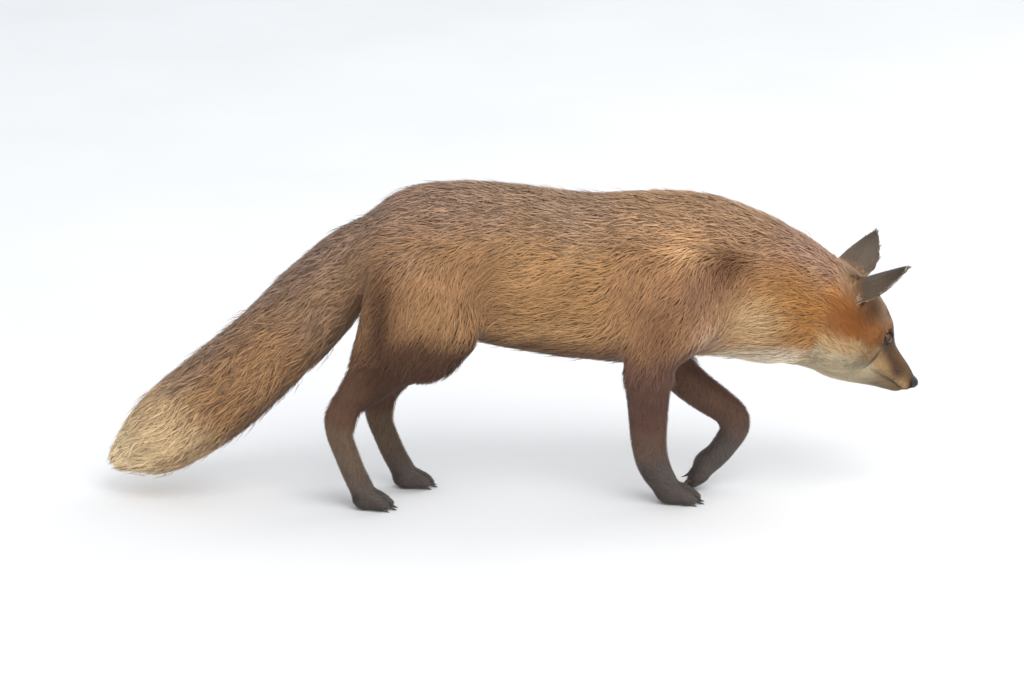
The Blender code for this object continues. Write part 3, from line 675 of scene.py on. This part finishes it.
class Skin:
    """The skin's mesh with a value at each vertex for everything that the coat asks of it."""

    def __init__(self, mesh):
        self.mesh = mesh
        self.outer = read(mesh.vertices, "co", 3).astype(float)
        self.labels = nearest_nodes(self.outer)
        for extra in ("eye_left", "eye_right", "nose"):
            self.labels[self.on(extra)] = NODES.index("head")
        self.mean = neighbour_mean(read(mesh.edges, "vertices", 2, np.int32), len(mesh.vertices))
        self.outer_normals = unit(self.spread(read(mesh.vertices, "normal", 3).astype(float), 3))
        self.head = (self.outer - np.array(NOSE_TIP)) @ np.array(HEAD_TURN)
        self.on_head = self.on("head")
        self.nose = np.linalg.norm((self.head + (NOSE_AHEAD, 0, 0)) / np.array(NOSE_HALF_SIZES), axis=1)
        self.lay_coat()
        self.lay_hair()

    def on(self, node):
        return self.labels == NODES.index(node)

    def spread(self, field, rounds):
        for _ in range(rounds):
            field = self.mean(field)
        return field

    def by_region(self, values):
        """Values of each node, blended where regions meet."""
        rows = np.array([values(name) for name in NODES], float)
        return self.spread(rows[self.labels], SPREAD)

    def share_of(self, *kinds):
        """How far each vertex belongs to the nodes whose names begin so."""
        return self.by_region(lambda name: [name.startswith(kinds)])[:, 0]

    def lay_coat(self):
        """Depth of the coat, and length and half width of its tufts."""
        table = self.by_region(lambda name: coat_of(name)[:3])
        back = np.clip(-self.head[:, 0], 0, None)
        stations = np.array(HEAD_COAT)
        own = np.stack([np.interp(back, stations[:, 0], stations[:, k]) for k in (1, 2, 3)], axis=1)
        crown = smoothstep(0.0, 0.03, self.head[:, 2]) * smoothstep(0.07, 0.10, back)
        own[:, :2] *= 1 - (1 - CROWN_SHARE) * crown[:, None]
        share = self.spread(self.on_head[:, None].astype(float), SPREAD)
        self.head_share = share[:, 0]
        self.depth, self.length, self.width = (table * (1 - share) + own * share).T

    def lay_hair(self):
        """The way the hair lies along the skin: on the head back from the nose tip and round the eyes."""
        ways = np.array([lie_of(name) for name in NODES])[self.labels]
        away = unit(self.outer - np.array(from_head((0.01, 0, 0))))
        ways[self.on_head] = away[self.on_head]
        ways = self.spread(ways, SPREAD)
        for node in EYES.values():
            out = self.outer - np.array(middle(node))
            reach = np.linalg.norm(out, axis=1, keepdims=True)
            towards = np.minimum(dots(ways, out) / reach, 0)
            ways -= 1.25 * towards * out / reach * smoothstep(0.022, 0.010, reach)
        ways = along(ways, self.outer_normals)
        waver = SWIRL * clouds(self.outer, 0.05, seed=31) * smoothstep(0.001, 0.006, self.depth)
        self.lie = unit(ways + np.cross(self.outer_normals, ways) * waver[:, None])


def shrink(skin):
    """Moves the skin inwards by the coat's depth and models its lids, lips and toes."""
    places = skin.outer - skin.outer_normals * (skin.depth + SWELL)[:, None]
    ease = 0.5 * smoothstep(0.001, 0.008, skin.depth)[:, None]
    for _ in range(SMOOTHING_ROUNDS):
        places = places * (1 - ease) + skin.mean(places) * ease
    fill = (FOLD_FILLING * skin.on_head * bell(-skin.head[:, 0], *FOLD))[:, None]
    for _ in range(FILLING_ROUNDS):
        lift = dots(skin.mean(places) - places, skin.outer_normals)
        places += skin.outer_normals * np.maximum(lift, 0) * fill
    gap = dots(skin.outer - places, skin.outer_normals)[:, 0]
    skin.rise = skin.spread(np.clip(gap, 0.5 * skin.depth, 1.6 * skin.depth)[:, None], 3)[:, 0]
    for side in EYES:
        places = lids(skin, places, side)
    places = lip_line(skin, places)
    places = toe_gaps(skin, places)
    axis, end = brush_end()
    behind = (skin.outer - end) @ axis
    skin.loose = smoothstep(*LOOSE_END, behind) * (behind < -LOOSE_END[1])
    skin.mesh.vertices.foreach_set("co", places.astype(np.float32).ravel())
    skin.mesh.update()
    skin.places = places
    skin.normals = unit(read(skin.mesh.vertices, "normal", 3).astype(float))


def slit_reach(local):
    """How far out a place lies in the eye's almond opening, which ends at 1."""
    share = local[:, 0] / SLIT_HALF_LENGTH
    taper = np.sqrt(np.clip(1 - np.abs(share) ** 2.2, 0.02, 1))
    return np.maximum(np.abs(local[:, 1]) / (SLIT_HALF_HEIGHT * taper), np.abs(share))


def lids(skin, places, side):
    """Wraps the skin round the eyeball in two lids and opens it along the slit."""
    eye, radius = np.array(middle(EYES[side])), eye_radius()
    local = at_eye(places, side)
    reach = slit_reach(local)
    out = np.linalg.norm(local, axis=1)
    lid = radius + LID_THICKNESS * smoothstep(0.9, 1.15, reach)
    lid -= EYE_SINK * radius * smoothstep(1.0, 0.85, reach)
    hold = (local[:, 2] > 0) * (out < 2.4 * radius) * smoothstep(2.3, 1.25, reach)
    target = eye + (places - eye) / out[:, None] * lid[:, None]
    return places + (target - places) * hold[:, None]


def lip_line(skin, places):
    """Presses the closed mouth's groove into the muzzle."""
    line = []
    for side in (1, -1):
        for first, second in zip(LIPS, LIPS[1:]):
            for t in np.linspace(0, 1, 12, endpoint=False):
                line.append((np.array(first) * (1 - t) + np.array(second) * t) * (1, side, 1))
    near = skin.on_head & (skin.head[:, 0] > -0.08)
    gaps = skin.head[near][:, None, :] - np.array(line)[None]
    skin.lip = np.full(len(places), 1.0)
    skin.lip[near] = np.linalg.norm(gaps * (1, 0.4, 1), axis=2).min(axis=1)
    return places - skin.outer_normals * (LIP_GROOVE * bell(skin.lip, 0, LIP_WIDTH))[:, None]


def paw_axes(node):
    """A paw's place, turn and size: x towards its toes, z up from its sole."""
    offset, heading, tip, scale = PAWS[node]
    low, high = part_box(node)
    pad = Vector((high.x, (low.y + high.y) / 2, low.z)) + Vector(offset)
    turn = Matrix.Rotation(math.radians(heading), 4, "Z") @ Matrix.Rotation(math.radians(tip), 4, "Y")
    return Matrix.Translation(pad) @ turn @ Matrix.Scale(scale, 4)


def toe_gaps(skin, places):
    """Parts the toes of each paw, where the hair is shorter too."""
    skin.toes = np.zeros(len(places))
    for node in PAWS:
        turn = np.array(paw_axes(node).inverted())
        x, y, _ = (skin.outer @ turn[:3, :3].T + turn[:3, 3]).T
        own = skin.on(node) * smoothstep(0.003, 0.010, x)
        for first, second in zip(TOES, TOES[1:]):
            gap = (first[0] + second[0]) / 2 * (0.8 + 0.2 * np.clip(x / LONG_TOE, 0, 1.4))
            skin.toes = np.maximum(skin.toes, own * bell(y, gap, TOE_GAP_WIDTH))
    skin.rise *= 1 - 0.5 * skin.toes
    skin.length *= 1 - 0.4 * skin.toes
    return places - skin.outer_normals * (TOE_GAP_DEPTH * skin.toes)[:, None]


# -------- the markings on the skin
def paint(colours, colour, mask):
    """Lays a colour over the markings where the mask says."""
    mask = np.clip(mask, 0, 1)[:, None]
    return colours * (1 - mask) + linear(colour) * mask


def lay(colours, marks, regions, axes, wave):
    """Lays a table of markings over the colours, one after the other."""
    for region, colour, strength, bells, steps in marks:
        mask = regions[region] * strength
        for axis, peak, size in bells:
            mask = mask * bell(axes[axis], peak, size)
        for axis, start, full, waver in steps:
            mask = mask * smoothstep(start, full, axes[axis] + wave * waver)
        colours = paint(colours, colour, mask)
    return colours


def clouds(places, size, seed):
    """Soft irregular waves of about that size, from -1 to 1."""
    rng = np.random.default_rng(seed)
    total = np.zeros(len(places))
    for _ in range(CLOUD_WAVES):
        wave = rng.normal(size=3)
        wave *= 2 * math.pi / size / np.linalg.norm(wave) * rng.uniform(0.6, 1.5)
        total += np.sin(places @ wave + rng.uniform(0, 2 * math.pi))
    return total / CLOUD_SUM


def region_colours(skin):
    """Every region's colours, darker above and paler or darker below, where the darker undersides are partly
    the fox's own colour and partly painted shade.
    """
    above, beside, below = (skin.by_region(lambda name, k=k: linear(coat_of(name)[k])) for k in (3, 4, 5))
    rise = skin.outer_normals[:, 2] + 0.10 * clouds(skin.outer, 0.05, seed=11)
    up = smoothstep(0.20, 0.85, rise)[:, None]
    # Facing down: where the colour below is darker, it is partly painted shade under the body.
    down = smoothstep(0.42, 0.88, -rise)[:, None]
    colours = beside * (1 - up) + above * up
    return colours * (1 - down) + below * down


def body_markings_and_shade(skin, colours):
    """Cream throat, patched flanks, dark feet, the brush's pale end and a dark thigh edge that is partly
    painted shade, with painted shadow in the fold beside it and in the toes' gaps.
    """
    x, y, z = skin.outer.T
    regions = {
        "body": 1 - skin.head_share,
        "throat": skin.share_of("neck", "chest") + skin.head_share * 0.4,
        "arm": skin.share_of("forearm", "shoulder", "chest"),
        "hind": skin.share_of("thigh", "rump", "shank"),
        "brush": skin.share_of("tail"),
        "toes": skin.toes,
    }
    axis, _ = brush_end()
    axes = {"x": x, "off": np.abs(y), "z": z, "along": (skin.outer - np.array(middle("tail_tip"))) @ axis}
    return lay(colours, BODY_MARKS, regions, axes, 0.010 * clouds(skin.outer, 0.06, seed=3))


def head_markings_and_shade(skin, colours):
    """The face: pale below, with orange cheeks and dark tear marks, lids, nose edge and lip line, and painted
    shade on the chin and partly on the muzzle.
    """
    x, y, z = skin.head.T
    share = skin.head_share
    over = z - np.interp(-x, *zip(*PALE_EDGE))
    axes = {"back": -x, "out": np.abs(y), "up": z, "over": over}
    wave = 0.0025 * clouds(skin.head, 0.03, seed=5)
    face = lay(colours, FACE_MARKS, {"face": share}, axes, wave)
    for side in EYES:
        start, end = (np.array(place) * (1, side, 1) for place in TEAR_MARK)
        t = np.clip((skin.head - start) @ (end - start) / ((end - start) @ (end - start)), 0, 1)
        gap = np.linalg.norm(skin.head - start - (end - start) * t[:, None], axis=1)
        tear = bell(gap, 0, np.interp(t, (0, 1), TEAR_WIDTHS))
        face = paint(face, TEAR_COLOUR, share * tear * 0.85)
        local = at_eye(skin.outer, side)
        near = (local[:, 2] > -0.004) * (np.linalg.norm(local, axis=1) < LID_REACH)
        face = paint(face, LID_COLOUR, share * near * smoothstep(2.1, 1.30, slit_reach(local)))
    face = paint(face, NOSE_EDGE_COLOUR, share * smoothstep(1.45, 1.15, skin.nose))
    return paint(face, LIP_COLOUR, share * bell(skin.lip, 0, LIP_MARK_WIDTH))


def ear_markings(skin, colours):
    """Dark backs and pale hair inside the cup."""
    for side, (node, *ways) in EARS.items():
        axis, front = (np.array(head_way(way, side).normalized()) for way in ways)
        facing = skin.outer_normals @ front
        height = (skin.outer - np.array(middle(node))) @ axis + EAR_HALF_HEIGHT
        regions = {"ear": skin.on(node), "back": skin.on(node) * (facing < EAR_BACK)}
        colours = lay(colours, EAR_MARKS, regions, {"height": height, "facing": facing}, 0)
    return colours


def grizzle(skin):
    """The share of tufts with dark ends."""
    up = smoothstep(0.0, 0.8, skin.outer_normals[:, 2])
    body, brush = (
        skin.by_region(lambda name: [shares.get(name, 0)])[:, 0] for shares in (BODY_GRIZZLE, BRUSH_GRIZZLE))
    return body * (GRIZZLE_BELOW + (1 - GRIZZLE_BELOW) * up) + brush + HEAD_GRIZZLE * skin.head_share


def mark(skin):
    """Gives every vertex its colour, with the share of dark-ended hair in the alpha."""
    colours = region_colours(skin)
    for markings in (body_markings_and_shade, head_markings_and_shade, ear_markings):
        colours = markings(skin, colours)
    mottling = 1 + 0.07 * clouds(skin.outer, 0.035, seed=9) + 0.05 * clouds(skin.outer, 0.09, seed=17)
    skin.marking = np.column_stack([np.clip(colours * mottling[:, None], 0, 1), grizzle(skin)])


def add_attribute(mesh, name, kind, values):
    """Adds a field with a value for each vertex."""
    layer = mesh.attributes.new(name, kind, "POINT")
    field = {"FLOAT": "value", "FLOAT_COLOR": "color", "FLOAT_VECTOR": "vector"}[kind]
    layer.data.foreach_set(field, np.ascontiguousarray(values, np.float32).ravel())


def make_skin():
    skin = Skin(melted_flesh())
    shrink(skin)
    mark(skin)
    shade = skin.marking * (PALE_SHARE, PALE_SHARE, PALE_SHARE, 0) + (0, 0, 0, 1)
    add_attribute(skin.mesh, "marking", "FLOAT_COLOR", shade)
    skin.mesh.shade_smooth()
    made = new_object("skin", skin.mesh, skin_material())
    show(made, "russet_fur", *[name for name in NODES if kind_of(name) not in ("eye", "nose")])
    return skin


# -------- the coat
def triangle_mesh(name, corners, faces):
    """A mesh of many triangles, made faster than by from_pydata."""
    mesh = bpy.data.meshes.new(name)
    mesh.vertices.add(len(corners))
    mesh.vertices.foreach_set("co", corners.astype(np.float32).ravel())
    mesh.loops.add(faces.size)
    mesh.loops.foreach_set("vertex_index", faces.astype(np.int32).ravel())
    mesh.polygons.add(len(faces))
    mesh.polygons.foreach_set("loop_start", np.arange(0, faces.size, 3, dtype=np.int32))
    mesh.update(calc_edges=True)
    mesh.validate()
    return mesh


def tuft_faces(rings):
    """The triangles of one tuft: a closed root, a three-sided tube from ring to ring, and a point."""
    faces = [(0, 2, 1)]
    for ring in range(rings - 1):
        for k in range(3):
            a, b = 3 * ring + k, 3 * ring + (k + 1) % 3
            faces += [(a, b, b + 3), (a, b + 3, a + 3)]
    last = 3 * (rings - 1)
    return np.array(faces + [(last + k, last + (k + 1) % 3, last + 3) for k in range(3)])


def roots(skin, nodes, count, rng):
    """Where tufts grow: for each, three skin vertices and their weights."""
    skin.mesh.calc_loop_triangles()
    corners = read(skin.mesh.loop_triangles, "vertices", 3, np.int32)
    wanted = np.isin(skin.labels[corners[:, 0]], [NODES.index(node) for node in nodes])
    corners = corners[wanted]
    a, b, c = (skin.places[corners[:, k]] for k in range(3))
    areas = np.linalg.norm(np.cross(b - a, c - a), axis=1)
    areas *= skin.haired[corners].min(axis=1)
    crowd = areas / (skin.length * skin.width)[corners].mean(axis=1) ** 0.75
    reach = np.cumsum(crowd)
    picks = np.searchsorted(reach, (np.arange(count) + rng.random(count)) / count * reach[-1])
    picks = np.minimum(picks, len(corners) - 1)
    u, v = rng.random(count), rng.random(count)
    fold = u + v > 1
    u[fold], v[fold] = 1 - u[fold], 1 - v[fold]
    return corners[picks], np.stack([1 - u - v, u, v], axis=1)


def haired_places(skin):
    """0 where no hair grows, on the eyes, the nose and the soles, and 1 elsewhere."""
    haired = np.ones(len(skin.places))
    for side in EYES:
        local = at_eye(skin.places, side)
        near = (np.linalg.norm(local, axis=1) < LID_REACH) & (local[:, 2] > 0)
        haired[near & (slit_reach(local) < BARE_LID)] = 0
    haired[skin.on_head & (skin.nose < BARE_NOSE)] = 0
    haired[skin.outer[:, 2] < SOLE] = 0
    return haired


class Tufts:
    """The tufts of one coat piece, which walk over the skin along the lie of the hair while they rise to the
    coat's outer surface."""

    def __init__(self, skin, name, seed):
        self.skin = skin
        nodes, self.count, self.rings, self.slot = PIECES[name]
        self.each = 3 * self.rings + 1  # corners of a tuft
        rng = np.random.default_rng(seed)
        self.picks, self.weights = roots(skin, nodes, self.count, rng)
        self.root = self.place = self.at_root(skin.places)
        self.way = unit(self.at_root(skin.lie))
        self.normal = unit(self.at_root(skin.normals))
        self.length = self.at_root(skin.length) * rng.uniform(*LENGTHS, self.count)
        self.width = self.at_root(skin.width) * rng.uniform(*WIDTHS, self.count)
        self.rise = self.at_root(skin.rise) * rng.uniform(*RISES, self.count)
        self.rise *= 1 + STRAY_RISE * rng.random(self.count) * (rng.random(self.count) < STRAY_SHARE)
        self.stray = rng.normal(0, STRAY_TURN, self.count)
        # At the brush's end the tufts run straight back and gather to a point.
        self.pull = self.at_root(skin.loose)[:, None]
        self.axis, end = brush_end()
        self.off = self.root - end - ((self.root - end) @ self.axis)[:, None] * self.axis
        self.ends = end + self.off * GATHER + self.axis * rng.uniform(*GATHER_ENDS, (self.count, 1))
        self.chance = rng.random(self.count)

    def at_root(self, field):
        """A field of the skin's vertices at each tuft's root."""
        weights = self.weights.reshape(self.count, 3, *[1] * (field.ndim - 1))
        return (field[self.picks] * weights).sum(axis=1)

    def walk(self, tree, step):
        """Goes on over the skin by one ring, and gives the marking under it."""
        skin = self.skin
        heading = unit(self.way + self.side * (self.stray * (1 + 0.5 * step))[:, None])
        place = self.place + heading * (self.length / self.rings)[:, None]
        found = np.array([tree.find(point)[1] for point in place])
        self.normal = skin.normals[found]
        place = place - self.normal * dots(place - skin.places[found], self.normal)
        self.way = along(skin.lie[found], self.normal)
        self.place = place + (self.root + (self.ends - self.root) * step - place) * self.pull
        return skin.marking[found]

    def turn(self):
        """Sets the tufts' axes at a ring."""
        self.normal = unit(self.normal + (unit(self.off) - self.normal) * self.pull)
        self.way = unit(self.way + (self.axis - self.way) * self.pull)
        self.side = unit(np.cross(self.normal, self.way))

    def grow(self, tree):
        """The tufts' corners, their shading and how far along the tuft they are, and each tuft's marking."""
        corners = np.empty((self.count, self.each, 3))
        shading = np.empty_like(corners)
        strand = np.empty((self.count, self.each))
        covered = [self.at_root(self.skin.marking)]
        for station, step in enumerate(np.linspace(0, 1, self.rings + 1)):
            if station:
                covered.append(self.walk(tree, step))
            self.turn()
            height = self.rise * WAY_UP[self.rings][station] - ROOT_DEPTH * (station == 0)
            line = self.place + self.normal * height[:, None] * (1 - GATHER_SINK * step * self.pull)
            half = (self.width * GIRTH[self.rings][station])[:, None]
            for k, (sideways, up) in enumerate(RING if station < self.rings else TIP, 3 * station):
                corners[:, k] = line + self.side * half * sideways + self.normal * half * up
                shading[:, k] = self.normal + self.side * sideways * ROUNDING
                strand[:, k] = step
        corners[..., 2] = np.maximum(corners[..., 2], FLOOR_GAP)
        marking = covered[0] if self.rings == 1 else (covered[-1] + covered[-2]) / 2
        return corners.reshape(-1, 3), unit(shading.reshape(-1, 3)), strand.ravel(), marking

    def unrolled(self):
        """The roots on an unwrap of the skin, as shares of the map.

        The right, middle and left nodes lie side by side, each rolled out flat round its own long axis."""
        sides = np.array([name.endswith("_left") - name.endswith("_right") for name in NODES])
        sides = sides[self.skin.labels[self.picks[:, 0]]]
        columns = np.unique(sides)
        flat = np.empty((self.count, 2))
        for column, side in enumerate(columns):
            own = sides == side
            local = self.root[own] - self.root[own].mean(axis=0)
            _, _, axes = np.linalg.svd(local, full_matrices=False)
            length, first, second = (local @ axis for axis in axes)
            turn = (np.arctan2(second, first) / (2 * math.pi)) % 1
            span = (length - length.min()) / np.ptp(length)
            flat[own] = np.stack([(column + 0.01 + 0.98 * turn) / len(columns), span], axis=1)
        return UV_PATCH + flat * (1 - 2 * UV_PATCH)

    def mesh(self, tree, name):
        corners, shading, strand, marking = self.grow(tree)
        faces = tuft_faces(self.rings) + self.each * np.arange(self.count)[:, None, None]
        faces = faces.reshape(-1, 3)
        mesh = triangle_mesh(name, corners, faces)
        across = np.tile(np.array([-1, 1, 0] * self.rings + [0], float), self.count)
        add_attribute(mesh, "marking", "FLOAT_COLOR", np.repeat(marking, self.each, axis=0))
        add_attribute(mesh, "strand", "FLOAT", strand)
        add_attribute(mesh, "chance", "FLOAT", np.repeat(self.chance, self.each))
        add_attribute(mesh, "across", "FLOAT", across)
        mesh.shade_smooth()
        mesh.normals_split_custom_set_from_vertices(shading)
        # The bake's map: every tuft is a small patch at its root's place.
        spots = np.repeat(self.unrolled(), self.each, axis=0)
        spots += np.stack([across * UV_PATCH / 2, (strand - 0.5) * UV_PATCH], axis=1)
        layer = mesh.uv_layers.new(name=UV_NAME)
        layer.data.foreach_set("uv", spots[faces.ravel()].astype(np.float32).ravel())
        return mesh


def make_coat(skin):
    skin.haired = haired_places(skin)
    tree = search_tree(skin.places)
    material = coat_material()
    for seed, name in enumerate(PIECES):
        tufts = Tufts(skin, name, seed)
        show(new_object(name, tufts.mesh(tree, name), material), tufts.slot)


# -------- eyes, nose, whiskers and claws
RIM_RADIUS = 0.0004
RIM_POINTS = 57
CORNEA = 0.06  # how far it bulges, in the eye's radii
EYE_GAP = 0.985  # the eyeball's radius beside its CAD node's
NOSTRIL, COMMA, GROOVE, NOSE_RIM = 0.46, 0.26, 0.10, 0.08  # depths and a height, beside the nose's half sizes
WHISKER_RADIUS = 0.00026
WHISKER_SAG = Vector((-0.30, 0, -0.30))


def tube(form, line, radii, sides=8):
    """Adds a closed round tube along a line of places to a form."""
    rings = []
    for i, place in enumerate(line):
        tangent = (line[min(i + 1, len(line) - 1)] - line[max(i - 1, 0)]).normalized()
        side = square_to(side, tangent) if rings else tangent.orthogonal().normalized()
        lift = tangent.cross(side)
        ring = []
        for turn in np.linspace(0, 2 * math.pi, sides, endpoint=False):
            ring.append(form.verts.new(place + (side * math.cos(turn) + lift * math.sin(turn)) * radii[i]))
        rings.append(ring)
    for first, second in zip(rings, rings[1:]):
        for i in range(sides):
            form.faces.new((first[i - 1], first[i], second[i], second[i - 1]))
    form.faces.new(rings[0])
    form.faces.new(rings[-1][::-1])


def finished(name, form, material):
    bmesh.ops.recalc_face_normals(form, faces=form.faces)
    mesh = mesh_of(form, name)
    mesh.shade_smooth()
    return new_object(name, mesh, material)


def make_eye(side, material):
    """An eyeball with a raised cornea, turned along its gaze."""
    node, radius = EYES[side], eye_radius()
    gaze = head_way(GAZE, side)
    up = square_to(head_way((0, 0, 1)), gaze)
    turn = Matrix((up.cross(gaze), up, gaze)).transposed()
    form = bmesh.new()
    bmesh.ops.create_uvsphere(form, u_segments=48, v_segments=32, radius=1.0)
    marks = np.array([vertex.co for vertex in form.verts])
    for vertex in form.verts:
        bulge = 1 + CORNEA * max(0.0, (vertex.co.z - 0.72) / 0.28) ** 0.8
        vertex.co = middle(node) + turn @ (vertex.co * radius * EYE_GAP * bulge)
    ball = finished(node.replace("eye", "eyeball"), form, material)
    add_attribute(ball.data, "iris_place", "FLOAT_VECTOR", marks)
    show(ball, "eye_gloss", node)


def make_lid_rim(side, material):
    """The black edge of both lids: an almond ring that lies on the eyeball."""
    node, radius = EYES[side], eye_radius()
    line = []
    for turn in np.linspace(0, 2 * math.pi, RIM_POINTS):
        u = math.cos(turn) * SLIT_HALF_LENGTH * 0.97
        taper = math.sqrt(max(0.0, 1 - abs(math.cos(turn)) ** 2.2))
        v = math.copysign(taper, math.sin(turn)) * SLIT_HALF_HEIGHT
        out = math.sqrt(max(0.0, (radius * 1.015) ** 2 - u * u - v * v))
        line.append(middle(node) + Vector(eye_axes(side) @ (u, v, out)))
    form = bmesh.new()
    tube(form, line, [RIM_RADIUS] * len(line))
    show(finished(node.replace("eye", "lid_rim"), form, material), "nose_leather")


def make_nose(material):
    """The nose leather, with its two comma-shaped nostrils and the groove between them."""
    form = bmesh.new()
    bmesh.ops.create_icosphere(form, subdivisions=6, radius=1.0)
    for vertex in form.verts:
        x, y, z = vertex.co
        out, ahead = abs(y), x > 0
        hole = bell(out, 0.44, 0.20) * bell(z, -0.02, 0.22) * ahead
        comma = bell(out, 0.76, 0.22) * bell(z + 0.35 * (out - 0.5), 0.08, 0.11) * (x > -0.1)
        groove = bell(y, 0, 0.055) * ahead * min(1.0, max(0.0, 0.45 - z) * 1.6)
        rim = bell(out, 0.46, 0.42) * bell(z, 0.02, 0.46) * ahead
        push = 1 + NOSE_RIM * rim - NOSTRIL * hole - COMMA * comma - GROOVE * groove
        # The nose runs back over the bridge and narrows and draws in below.
        x *= 0.92 if ahead or x == 0 else 1.45
        x -= 0.40 * max(0.0, -z) ** 1.5
        y *= 1 - 0.22 * max(0.0, -z)
        z += 0.12 * max(0.0, -x)
        shape = Vector((x * push, y * (1 + 0.4 * (push - 1)), z * (1 + 0.3 * (push - 1))))
        vertex.co = from_head(shape * NOSE_HALF_SIZES - Vector((NOSE_AHEAD, 0, 0)))
    show(finished("nose_leather", form, material), "nose_leather", "nose")


def make_whiskers(material):
    """Stiff dark whiskers from the sides of the muzzle and over the eyes."""
    rng = np.random.default_rng(21)
    form = bmesh.new()
    for side in (1, -1):
        for row in range(3):
            for k in range(4):
                start = Vector((-0.018 - 0.0055 * k, 0.0135 + 0.0012 * k, -0.0005 - 0.0042 * row))
                way = Vector((-0.35 - 0.13 * k, 1.0, 0.20 - 0.28 * row)).normalized()
                whisker(form, side, start, way, rng.uniform(0.026, 0.034) + 0.006 * k, rng)
        for k in range(3):
            start = Vector((-0.086 - 0.004 * k, 0.020 + 0.002 * k, 0.029))
            whisker(form, side, start, Vector((-0.4, 0.45, 0.85)).normalized(), 0.018, rng)
    show(finished("whiskers", form, material), "nose_leather")


def whisker(form, side, start, way, length, rng):
    sag = WHISKER_SAG * rng.uniform(0.6, 1.2)
    steps = np.linspace(0, 1, 9)
    line = [from_head(start + way * length * t + sag * length * t * t, side) for t in steps]
    tube(form, line, [WHISKER_RADIUS * (1 - 0.8 * t) for t in steps], sides=5)


def make_claws(material):
    """Four short curved claws on each paw."""
    for node, (*_, scale) in PAWS.items():
        axes = paw_axes(node)
        form = bmesh.new()
        for sideways, reach, spread in TOES:
            place = Vector((reach, sideways, TOE_LOW)) + CLAW_ROOT
            line, radii = [], []
            for t in np.linspace(0, 1, CLAW_STEPS + 1):
                radius = CLAW_RADIUS * scale * max(0.12, (1 - t) ** 0.75)
                point = axes @ place
                line.append(Vector((point.x, point.y, max(point.z, radius + 0.0002))))
                radii.append(radius)
                slope, out = math.radians(CLAW_DROOP + CLAW_CURL * t), math.radians(-spread)
                level, fall = math.cos(slope) * CLAW_LENGTH, -math.sin(slope) * CLAW_LENGTH
                place += Vector((level * math.cos(out), level * math.sin(out), fall)) / CLAW_STEPS
            tube(form, line, radii, sides=10)
        show(finished("claws_" + node, form, material), "dark_fur")


def make_details():
    eye, rim = eye_material(), leather_material("lid_rim")
    for side in EYES:
        make_eye(side, eye)
        make_lid_rim(side, rim)
    make_nose(leather_material("nose_leather"))
    make_whiskers(leather_material("whisker"))
    make_claws(leather_material("claw_horn"))


# -------- stage, light and camera
VIEW_RISE = 16  # degrees above the fox's own level
FRAME_SHARE = 0.80  # how much of the picture's width the fox takes up
LENS = 150.0
SENSOR = 36.0
FLOOR_SIZE = 30
SKY_COLOUR = (0.93, 0.96, 1.0, 1)
SKY_STRENGTH = 0.95
LIGHTS = {"key": ((0.8, -2.2, 2.9), 76), "fill": ((2.2, 1.6, 2.2), 26)}  # place and power
LIGHT_SIZE = 2.4
LIGHT_TARGET = Vector((0, 0, 0.2))


def add_at(name, data, place, target):
    """Adds a light or camera that looks at a target."""
    made = new_object(name, data)
    made.location = place
    made.rotation_euler = (target - made.location).to_track_quat("-Z", "Y").to_euler()
    return made


def make_stage():
    """A pale floor and soft light from all round."""
    form = bmesh.new()
    bmesh.ops.create_grid(form, x_segments=2, y_segments=2, size=FLOOR_SIZE)
    look = Look("floor")
    grain = look("noise", look("place"), 3.0, 2.0)
    look.drive({"Base Color": look.ramp(grain, (0.3, 0.80), (0.7, 0.83)), "Roughness": 0.9})
    new_object("floor", mesh_of(form, "floor"), look.made)

    world = bpy.data.worlds.new("studio")
    world.use_nodes = True
    background = world.node_tree.nodes["Background"]
    background.inputs["Color"].default_value = SKY_COLOUR
    background.inputs["Strength"].default_value = SKY_STRENGTH
    bpy.context.scene.world = world
    for name, (place, power) in LIGHTS.items():
        light = bpy.data.lights.new(name, "AREA")
        light.size = LIGHT_SIZE
        light.energy = power
        add_at(name, light, place, LIGHT_TARGET)


def make_camera():
    """The camera on the fox's right, as in the photograph but nearer."""
    low, high = (Vector(corner) for corner in CAD_BOX)
    camera = bpy.data.cameras.new("camera")
    camera.lens, camera.sensor_width = LENS, SENSOR
    camera.clip_end = 100
    target = (low + high) / 2
    distance = (high.x - low.x) / FRAME_SHARE * LENS / SENSOR
    rise = math.radians(VIEW_RISE)
    place = target + Vector((0, -math.cos(rise), math.sin(rise))) * distance
    bpy.context.scene.camera = add_at("camera", camera, place, target)
    bpy.context.scene.view_settings.view_transform = "Standard"


make_stage()
make_camera()
fox_skin = make_skin()
make_coat(fox_skin)
make_details()
